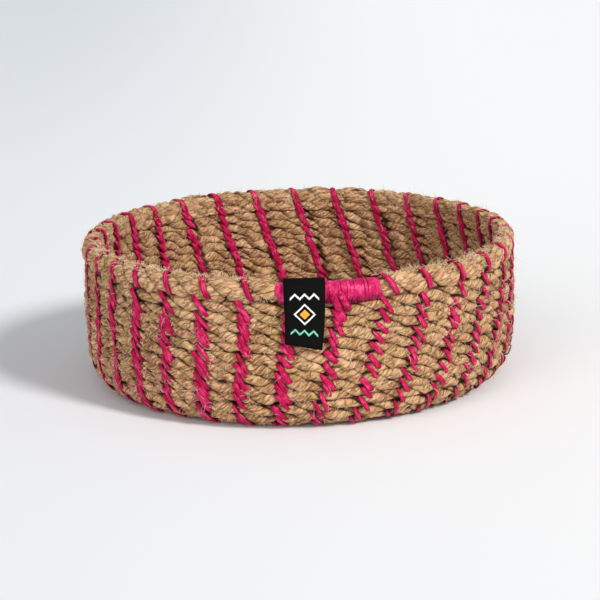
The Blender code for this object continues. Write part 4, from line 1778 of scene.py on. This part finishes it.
@dataclass
class Binding:
    """Yarn wound round the splice of the rim rope, in broad turns on the left and fine ones on the right."""

    form: CoilForm
    plan: SewingPlan
    rim: RimForm
    broad_end: float = math.radians(10.6)
    broad_pitch: float = 0.00150
    fine_pitch: float = 0.00080
    broad_share: float = 2.3
    loop_points: int = 18
    core_half_width: float = 0.00470
    core_half_height: float = 0.00515
    thread_section: Section = Section(0.00057, 0.00032, 6)
    thread_shade: float = 0.12
    sag: float = 0.0007
    swell: float = 0.00012
    scallop: float = 0.00040
    straps: tuple = (
        (math.radians(7.6), math.radians(10.2), 1.0),
        (math.radians(9.9), math.radians(12.4), 0.94),
    )
    strap_points: int = 12
    strap_top: float = 20.0
    strap_sweep: float = 85.0
    strap_shade: float = 0.75
    strap_lift: float = 0.0001
    strap_bulge: float = 0.0006
    strap_reach: float = 0.0043
    shade_ragged: float = 0.3
    shade_step: float = 0.0016
    darkest: float = 0.55
    strap_section: Section = Section(0.00188, 0.00085, 10)

    def turns(
        self, first: float, last: float, pitch: float, share: float, middle: float, seed: Seed
    ) -> Strand:
        """One strand wound between two azimuths.

        Args:
            first: Azimuth of the start.
            last: Azimuth of the end.
            pitch: Distance between two turns.
            share: Share of the thread's section.
            middle: Azimuth of the frame.
            seed: Start of the hand's wander.

        Returns:
            Points and section shares.
        """
        loops = round((last - first) * self.form.wall_radius / pitch)
        draw = random.Random(seed)
        wander = [draw.uniform(-1, 1) for _ in range(loops + 2)]
        tilt = [draw.uniform(-0.5, 0.5) for _ in range(loops + 2)]
        points = []
        for index in range(loops * self.loop_points + 1):
            loop = index / self.loop_points
            whole = int(loop)
            part = loop - whole
            shift = wander[whole] + (wander[whole + 1] - wander[whole]) * part
            lean = tilt[whole] + (tilt[whole + 1] - tilt[whole]) * part
            around = math.tau * loop
            ends = min(1.0, (1.2 + min(loop, loops - loop)) / 3)
            low = max(0.0, -math.sin(around)) ** 2
            swell = self.swell * shift + self.scallop * low * wander[whole]
            swell -= self.thread_section.half_thickness * (share - 1)
            out = (self.core_half_width + swell) * (0.9 + 0.1 * ends)
            up = (self.core_half_height + swell) * (0.9 + 0.1 * ends)
            azimuth = first + (last - first) * loop / loops
            azimuth += pitch * (0.25 * shift + lean * math.sin(around)) / self.form.wall_radius
            radius = self.form.wall_radius + out * math.cos(around)
            height = self.rim.level - self.sag + up * math.sin(around)
            points.append((in_row_frame(radius, azimuth - middle, height), share))
        return points

    def strap(self, first: float, last: float, share: float, middle: float) -> Strand:
        """A thick strand that comes down from the binding over the top course.

        Args:
            first: Azimuth at its upper end.
            last: Azimuth at its lower end.
            share: Share of the strap's section.
            middle: Azimuth of the frame.

        Returns:
            Points and section shares.
        """
        points = []
        for step in range(self.strap_points):
            passed = step / (self.strap_points - 1)
            arch = math.sin(math.pi * passed)
            around = math.radians(self.strap_top - self.strap_sweep * min(1.0, passed * 1.5))
            drop = max(0.0, passed - 2 / 3) * 3 * self.form.course_pitch * 1.1
            rise = min(1.0, arch * 2)
            out = self.core_half_width + self.strap_lift + self.strap_bulge * rise
            up = self.core_half_height + self.strap_lift + self.strap_bulge * rise
            radius = self.form.wall_radius + max(out * math.cos(around), self.strap_reach * rise)
            height = self.rim.level - self.sag + up * math.sin(around) - drop
            azimuth = first + (last - first) * passed
            thick = share * (0.5 + 0.5 * min(1.0, arch * 1.8))
            points.append((in_row_frame(radius, azimuth - middle, height), thick))
        return points

    def shade(self, mesh: Mesh, least: float) -> None:
        """Store how deep each point lies in shade: more toward the underside, with a ragged edge.

        Args:
            mesh: The thread or straps.
            least: How far down the shade starts, from 0 at the middle to 1.3 at the underside.
        """
        points = points_of(mesh)
        outward = np.hypot(points[:, 0], points[:, 1]) - self.form.wall_radius
        down = -np.sin(np.arctan2(points[:, 2] - self.rim.level + self.sag, outward))
        ragged = wander(Seed.BINDING_SHADE, self.shade_step, points[:, 0] + 0.4 * points[:, 2])
        shade = 1.3 * down - least + self.shade_ragged * ragged
        store_value(mesh, "yarn_shade", np.clip(shade, 0, self.darkest))

    def build(self, thread: Material, yarn: Material) -> None:
        """Wind the thread in a frame whose Z lies along the rim, and lay the straps over it.

        Args:
            thread: Finish of the thread.
            yarn: Finish of the straps.
        """
        plan = self.plan
        start, end = plan.binding_start, plan.binding_start + plan.binding_angle
        middle = (start + end) / 2
        strands = [
            self.turns(start, self.broad_end, self.broad_pitch, self.broad_share, middle, Seed.BROAD_TURNS),
            self.turns(self.broad_end, end, self.fine_pitch, 1.0, middle, Seed.FINE_TURNS),
        ]
        wound = swept_mesh("binding", strands, self.thread_section, row_matrix(middle))
        self.shade(wound, self.thread_shade)
        strands = [self.strap(*sizes, middle) for sizes in self.straps]
        straps = swept_mesh("binding_straps", strands, self.strap_section, row_matrix(middle))
        self.shade(straps, self.strap_shade)
        place_piece("binding", wound, thread, ["rim_binding"])
        place_piece("binding_straps", straps, yarn, ["rim_binding"])


@dataclass(frozen=True)
class LabelFinish:
    """Black woven tape with a plain geometric pattern in white, orange and mint."""

    name: str
    ground: tuple = srgb(9, 8, 8)
    thread: tuple = srgb(24, 22, 21)
    white: tuple = srgb(236, 236, 234)
    orange: tuple = srgb(243, 160, 62)
    mint: tuple = srgb(122, 200, 170)
    warp_scale: float = 900.0
    weft_scale: float = 700.0
    ragged_scale: float = 1800.0
    ragged_depth: float = 0.0006
    lozenge_level: float = 0.0005
    lozenge_half: float = 0.0052
    lozenge_line: float = 0.0010
    heart_half: float = 0.0024
    zigzag_levels: tuple = (0.0090, -0.0085)
    zigzag_pitch: float = 0.0044
    zigzag_rise: float = 0.0011
    zigzag_line: float = 0.00055
    zigzag_half_width: float = 0.0067
    bump_depth: float = 0.00008

    def build(self) -> Material:
        """Make the material on the tape's map, in metres from the middle of the part that hangs outside.

        Returns:
            The material.
        """
        board = ShaderBoard(self.name)
        own = board.coordinates("tape")
        across, along = board.split(own)
        warp = board.bands(own, "Y", self.warp_scale)
        thread = board.math("MULTIPLY", warp, board.bands(own, "X", self.weft_scale))
        ragged = board.math("SUBTRACT", board.noise(own, self.ragged_scale, 1.0), 0.5)
        ragged = board.math("MULTIPLY", ragged, self.ragged_depth)
        side = board.math("ABSOLUTE", across)
        colour = board.mix(board.math("MULTIPLY", thread, 0.5), self.ground, self.thread)
        below = board.math("ABSOLUTE", board.math("SUBTRACT", along, self.lozenge_level))
        reach = board.math("ADD", board.math("ADD", side, below), ragged)
        for half, line, tint in (
            (self.lozenge_half, self.lozenge_line, self.white),
            (self.heart_half, self.heart_half, self.orange),
        ):
            inside = board.math("LESS_THAN", reach, half)
            beyond = board.math("GREATER_THAN", reach, half - line)
            colour = board.mix(board.math("MULTIPLY", inside, beyond), colour, tint)
        fold = board.math("PINGPONG", across, self.zigzag_pitch / 2)
        within = board.math("LESS_THAN", side, self.zigzag_half_width)
        for centre, tint in zip(self.zigzag_levels, (self.white, self.mint)):
            level = board.math("ADD", board.math("SUBTRACT", along, centre), fold)
            level = board.math("ADD", level, ragged)
            band = board.math("COMPARE", level, self.zigzag_rise, self.zigzag_line)
            colour = board.mix(board.math("MULTIPLY", band, within), colour, tint)
        board.surface(colour, 0.75, 0.07)
        board.bump(thread, self.bump_depth, 0.7)
        return board.material


@dataclass
class Label:
    """Strip of woven tape folded over the binding."""

    form: CoilForm
    width: float = 0.0190
    drop: float = 0.0318
    thickness: float = 0.0005
    azimuth: float = math.radians(1.1)
    clearance: float = 0.0021
    inside_clearance: float = 0.0020
    rise: float = 0.0066
    fold_power: float = 0.8
    curl: float = 0.0012
    corner_lift: float = 0.0030
    corner_turn: float = 0.0020
    skew: float = 0.0006
    buckle: float = 0.00025
    buckle_rates: tuple = (420.0, 160.0)
    flap_steps: int = 14
    fold_steps: int = 16
    width_steps: int = 8

    def outline(self) -> list[tuple[float, float, float]]:
        """Follow the tape from the bottom outside over the fold to the bottom inside.

        Returns:
            Radius, height and distance along the tape of each place.
        """
        form = self.form
        outside = form.outer_radius + self.clearance
        inside = form.wall_radius - form.rope_width / 2 - self.inside_clearance
        middle = (outside + inside) / 2
        level = form.rim_level
        bottom = level + self.rise - self.drop
        flap = [bottom + (level - bottom) * step / self.flap_steps for step in range(self.flap_steps)]
        line = [(outside, height) for height in flap]
        for step in range(self.fold_steps + 1):
            around = math.pi * step / self.fold_steps
            out = (outside - inside) / 2 * math.cos(around)
            line.append((middle + out, level + self.rise * math.sin(around) ** self.fold_power))
        line += [(inside, height) for height in reversed(flap)]
        steps = [math.dist(*ends) for ends in zip(line, line[1:])]
        return [(*place, travelled) for place, travelled in zip(line, accumulate(steps, initial=0.0))]

    def build(self, material: Material) -> None:
        """Bend a flat grid over the rim and give it its thickness.

        Args:
            material: Finish of the tape.
        """
        rows = self.outline()
        bm = bmesh.new()
        bmesh.ops.create_grid(bm, x_segments=self.width_steps, y_segments=len(rows) - 1, size=0.5)
        uv_layer = bm.loops.layers.uv.new("tape")
        flat_map = {}
        for vert in bm.verts:
            across = vert.co.x * self.width
            index = round((vert.co.y + 0.5) * (len(rows) - 1))
            radius, height, travelled = rows[index]
            flat_map[vert] = (across, travelled - self.drop / 2)
            passed = 1 - min(travelled / self.drop, 1)
            lift = self.curl * passed**2 * (0.35 + 0.65 * max(0.0, across / self.width * 2)) ** 1.5
            skew = self.skew * passed * math.sin(3 * passed)
            skew -= self.corner_turn * passed**1.5 * (0.5 + across / self.width)
            along_rate, across_rate = self.buckle_rates
            buckle = self.buckle * math.sin(across * along_rate + travelled * across_rate)
            radius += lift + buckle * min(passed * 3, 1)
            height += self.corner_lift * passed**2 * (0.5 - across / self.width)
            away = self.azimuth + (across + skew) / radius
            vert.co = (radius * math.sin(away), -radius * math.cos(away), height)
        for face in bm.faces:
            face.smooth = True
            for loop in face.loops:
                loop[uv_layer].uv = flat_map[loop.vert]
        bmesh.ops.recalc_face_normals(bm, faces=bm.faces[:])
        mesh = bpy.data.meshes.new("tape_label")
        bm.to_mesh(mesh)
        bm.free()
        piece = place_piece("tape_label", mesh, material, ["label"])
        wall = piece.modifiers.new("thickness", "SOLIDIFY")
        wall.thickness = self.thickness
        wall.offset = 0


@dataclass
class LooseFibres:
    """Single fibres that stand off the ropes, most of them in tufts on top of the rim."""

    form: CoilForm
    rim: RimForm
    plan: SewingPlan
    hand: HandWork
    rim_tufts: int = 1000
    back_share: float = 0.22
    tuft_fibres: int = 7
    tuft_middle: float = 112.0
    tuft_spread: float = 42.0
    tuft_depth: float = 0.93
    tuft_width: float = 0.006
    tuft_fan: float = 0.15
    tuft_length: float = 0.0015
    bushy_length: float = 0.0040
    wall_count: int = 4200
    outside_share: float = 0.72
    standing_share: float = 0.26
    standing_length: tuple = (0.0010, 0.0036)
    lying_length: tuple = (0.0020, 0.0060)
    lying_rise: float = 0.35
    yarn_reach: float = 0.0046
    section: Section = Section(0.00009, 0.00009, 3)
    points_each: int = 5
    yarn_count: int = 44
    yarn_share: float = 1.5
    yarn_step: float = 0.0011
    yarn_lift: float = 0.0004
    loose_rows: tuple = (27, 28, 29, 30, 31)
    label_first: float = math.radians(-5.5)
    label_last: float = math.radians(8.0)
    label_drop: float = 0.036

    def fibre(
        self, start: Vector, out: Vector, along: Vector, length: float, rise: float, draw: random.Random
    ) -> Strand:
        """One curved fibre.

        Args:
            start: Where it leaves the rope.
            out: The way the surface faces.
            along: The way the rope runs.
            length: Its length.
            rise: Share of the usual rise from the surface.
            draw: Source of its curl.

        Returns:
            Points and section shares.
        """
        lean = draw.uniform(-1.0, 1.0)
        side = out.cross(along) * draw.uniform(-0.7, 0.7)
        heading = (out * rise * draw.uniform(0.25, 1.0) + along * lean + side).normalized()
        bend = (along * draw.uniform(-1, 1) + side + Vector((0, 0, -0.5))) * draw.uniform(0.2, 1.2)
        points = []
        place = start.copy()
        for step in range(self.points_each):
            points.append((place.copy(), 1.0 - 0.12 * step))
            heading = (heading + bend * 0.35).normalized()
            place = place + heading * length / (self.points_each - 1)
        return points

    def rim_strands(self, draw: random.Random) -> list[Strand]:
        """Tufts on the rim, most of them on top and toward the inside.

        Args:
            draw: Source of their places.

        Returns:
            One strand for each fibre.
        """
        strands = []
        bare_end = self.plan.binding_start + self.plan.binding_angle
        for _ in range(self.rim_tufts):
            azimuth = draw.uniform(bare_end, bare_end + math.tau - self.plan.binding_angle)
            if draw.random() > self.back_share and math.cos(azimuth) < 0:
                continue
            around = math.radians(draw.gauss(self.tuft_middle, self.tuft_spread))
            bushy = draw.uniform(0.4, 1.0) ** 2
            for _ in range(draw.randint(2, self.tuft_fibres)):
                here = azimuth + draw.uniform(-self.tuft_width, self.tuft_width)
                turn = around + draw.uniform(-self.tuft_fan, self.tuft_fan)
                out_round = Vector((math.sin(here), -math.cos(here), 0))
                out = out_round * math.cos(turn) + Vector((0, 0, 1)) * math.sin(turn)
                along = Vector((math.cos(here), math.sin(here), 0))
                reach = self.tuft_depth * self.rim.half_width * math.cos(turn)
                start = out_round * (self.form.wall_radius + reach)
                rise = self.tuft_depth * self.rim.half_height_at(here) * math.sin(turn)
                start.z = float(self.rim.level_at(here) + rise)
                length = (self.tuft_length + self.bushy_length * bushy) * draw.uniform(0.6, 1)
                strands.append(self.fibre(start, out, along, length, 1.0, draw))
        return strands

    def is_under_label(self, azimuth: float, run: float) -> bool:
        """Whether the label covers a place of the wall."""
        beside = (azimuth - self.label_first) % math.tau
        return beside < self.label_last - self.label_first and run > self.form.whole_run - self.label_drop

    def wall_strands(self, draw: random.Random) -> list[Strand]:
        """Fibres on both faces of the wall and on the heel.

        Args:
            draw: Source of their places.

        Returns:
            One strand for each fibre.
        """
        form = self.form
        strands = []
        for _ in range(self.wall_count):
            azimuth = draw.uniform(0, math.tau)
            run = draw.uniform(form.floor_run + form.heel_run * 0.4, form.whole_run)
            side = Side.OUTSIDE if draw.random() < self.outside_share else Side.INSIDE
            close = self.plan.nearness(np.array(azimuth), np.array(run), form.wall_radius, self.yarn_reach)
            if close > draw.random() or self.is_under_label(azimuth, run):
                continue
            radius, height = form.profile_at(run, side.value * form.rope_width / 2 * 0.95)
            steep = float(form.steepness_at(run))
            out_round = Vector((math.sin(azimuth), -math.cos(azimuth), 0))
            out = (out_round * math.sin(steep) - Vector((0, 0, 1)) * math.cos(steep)) * side.value
            along = Vector((math.cos(azimuth), math.sin(azimuth), 0))
            start = out_round * float(radius) + Vector((0, 0, float(height)))
            stands = draw.random() < self.standing_share
            length = draw.uniform(*(self.standing_length if stands else self.lying_length))
            rise = 1.0 if stands else self.lying_rise
            strands.append(self.fibre(start, out, along, length, rise, draw))
        return strands

    def yarn_strands(self, draw: random.Random) -> list[Strand]:
        """Thin threads that have come loose from the stitches, half of them low down left of the label.

        Args:
            draw: Source of their places.

        Returns:
            One strand for each thread.
        """
        form = self.form
        strands = []
        for _ in range(self.yarn_count):
            index = draw.randrange(self.plan.row_count)
            run = draw.uniform(form.floor_run + form.heel_run, form.whole_run - form.course_pitch)
            if draw.random() < 0.5:
                index = draw.choice(self.loose_rows)
                run = form.floor_run + form.heel_run * 0.6 + draw.uniform(0, 2.6) * form.course_pitch
            azimuth = float(self.plan.azimuth(index, run)) + draw.uniform(-0.03, 0.03)
            heading = draw.uniform(0, math.tau)
            curl = draw.uniform(-0.5, 0.5)
            points = []
            for step in range(draw.randint(8, 13)):
                offset = form.rope_width / 2 + self.yarn_lift * (1 + math.sin(1.3 * step + heading))
                radius, height = (float(value) for value in form.profile_at(run, offset))
                place = Vector((radius * math.sin(azimuth), -radius * math.cos(azimuth), height))
                points.append((place, self.yarn_share))
                heading += curl + draw.uniform(-0.4, 0.4)
                azimuth += self.yarn_step * math.cos(heading) / radius
                run += self.yarn_step * math.sin(heading)
            strands.append(points)
        return strands

    def build(self, jute: Material, yarn: Material) -> None:
        """Make the fibres of the rim and those of the wall, and the loose threads.

        Args:
            jute: Finish of the fibres.
            yarn: Finish of the threads.
        """
        draw = random.Random(Seed.LOOSE_FIBRES)
        for name, strands, material, slot in (
            ("rim_fibres", self.rim_strands(draw), jute, Slot.RIM_ROPE),
            ("wall_fibres", self.wall_strands(draw), jute, Slot.ROPE),
            ("yarn_threads", self.yarn_strands(draw), yarn, Slot.YARN),
        ):
            mesh = swept_mesh(name, strands, self.section, Matrix.Identity(4))
            self.hand.settle(mesh)
            place_piece(name, mesh, material, [])


@dataclass(frozen=True)
class Lamp:
    """A soft far lamp: its place round the basket and above the floor, how wide it looks and its power."""

    name: str
    azimuth: float
    height: float
    size: float
    strength: float
    colour: tuple = (1.0, 0.99, 0.97)

    def build(self) -> None:
        """Hang the lamp and point it at the basket."""
        data = bpy.data.lights.new(self.name, "SUN")
        data.energy = self.strength
        data.angle = self.size
        data.color = self.colour
        lamp = linked(self.name, data)
        level = math.cos(self.height)
        out = (level * math.sin(self.azimuth), -level * math.cos(self.azimuth), math.sin(self.height))
        lamp.location = out
        lamp.rotation_euler = (-Vector(out)).to_track_quat("-Z", "Y").to_euler()


@dataclass
class Studio:
    """Pale floor, soft light from the right, and the camera."""

    camera_distance: float = 1.262
    camera_height: float = 0.3555
    target_height: float = 0.0370
    camera_roll: float = math.radians(-1.2)
    lens: float = 158.5
    floor_size: float = 8.0
    left_shade_colour: tuple = srgb(234, 237, 243)
    right_colour: tuple = srgb(248, 249, 251)
    far_shade_colour: tuple = srgb(216, 221, 227)
    side_falloff_span: tuple = (-0.26, 0.16)
    depth_falloff_span: tuple = (-0.2, 1.5)
    lamps: tuple = (
        Lamp("sun", math.radians(46.0), math.radians(37.0), math.radians(13.0), 2.46),
        Lamp("front", math.radians(-20.0), math.radians(20.0), math.radians(60.0), 1.50),
    )
    world_strength: float = 0.38

    def floor(self) -> None:
        """A plain paper floor, with a painted falloff of light that makes it a little darker to the left and
        far away.
        """
        bm = bmesh.new()
        bmesh.ops.create_grid(bm, x_segments=1, y_segments=1, size=self.floor_size / 2)
        mesh = bpy.data.meshes.new("studio_floor")
        bm.to_mesh(mesh)
        bm.free()
        floor = linked("studio_floor", mesh)
        board = ShaderBoard("floor_paper_with_falloff")
        across, away = board.split(board.coordinates())
        far = board.span(away, *self.depth_falloff_span)
        side = board.span(across, *self.side_falloff_span)
        # painted falloff of the light toward the left and the far side
        left = board.mix(far, self.left_shade_colour, self.far_shade_colour)
        board.surface(board.mix(side, left, self.right_colour), 0.9, 0.1)
        mesh.materials.append(board.material)

    def world(self) -> None:
        """Even light from all round."""
        world = bpy.data.worlds.new("studio")
        bpy.context.scene.world = world
        world.use_nodes = True
        shade = world.node_tree.nodes["Background"]
        shade.inputs["Color"].default_value = (0.98, 0.99, 1.0, 1.0)
        shade.inputs["Strength"].default_value = self.world_strength

    def camera(self) -> None:
        """The camera at the photograph's angle."""
        data = bpy.data.cameras.new("camera")
        data.lens = self.lens
        data.sensor_width = 36.0
        camera = linked("camera", data)
        place = Vector((0, -self.camera_distance, self.camera_height))
        aim = Vector((0, 0, self.target_height))
        camera.location = place
        turn = (aim - place).to_track_quat("-Z", "Y").to_matrix() @ Matrix.Rotation(self.camera_roll, 3, "Z")
        camera.rotation_euler = turn.to_euler()
        bpy.context.scene.camera = camera

    def build(self) -> None:
        """Set up the whole studio."""
        self.floor()
        self.world()
        for lamp in self.lamps:
            lamp.build()
        self.camera()
        bpy.context.scene.view_settings.view_transform = "Standard"


def main() -> None:
    """Build every piece in order."""
    logging.basicConfig(level=logging.INFO, format="%(name)s %(message)s")
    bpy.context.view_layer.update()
    form = CoilForm.from_frame()
    plan = SewingPlan(form)
    rim = RimForm.above(form)
    hand = HandWork(form.rim_level)
    Studio().build()
    jute = JuteFinish("jute", strand_width=0.00125).build()
    thick_jute = JuteFinish(
        "thick_jute", strand_width=0.0013,
        light=srgb(216, 177, 141), middle=srgb(191, 148, 109), dark=srgb(130, 86, 51),
    ).build()
    yarn = YarnFinish("pink_yarn").build()
    thread = YarnFinish(
        "pink_thread", strands_round=3.0, strands_along=500.0, roughness=0.28, edge_shade=0.35, gloss=0.16,
        dark=srgb(156, 4, 62), middle=srgb(200, 24, 92), light=srgb(244, 92, 150),
    ).build()
    CoilRope(form, plan, hand).build(jute)
    RimRope(form, plan, rim).build(thick_jute)
    StitchRows(form, plan, rim, hand).build(yarn)
    strap_yarn = YarnFinish("strap_yarn", strands_round=9.0, strands_along=5.0, edge_shade=0.8)
    Binding(form, plan, rim).build(thread, strap_yarn.build())
    Label(form).build(LabelFinish("woven_tape").build())
    pale_yarn = FibreFinish("pale_yarn", light=srgb(240, 160, 188), dark=srgb(216, 84, 134))
    LooseFibres(form, rim, plan, hand).build(FibreFinish("loose_jute").build(), pale_yarn.build())


if __name__ == "__main__":
    main()
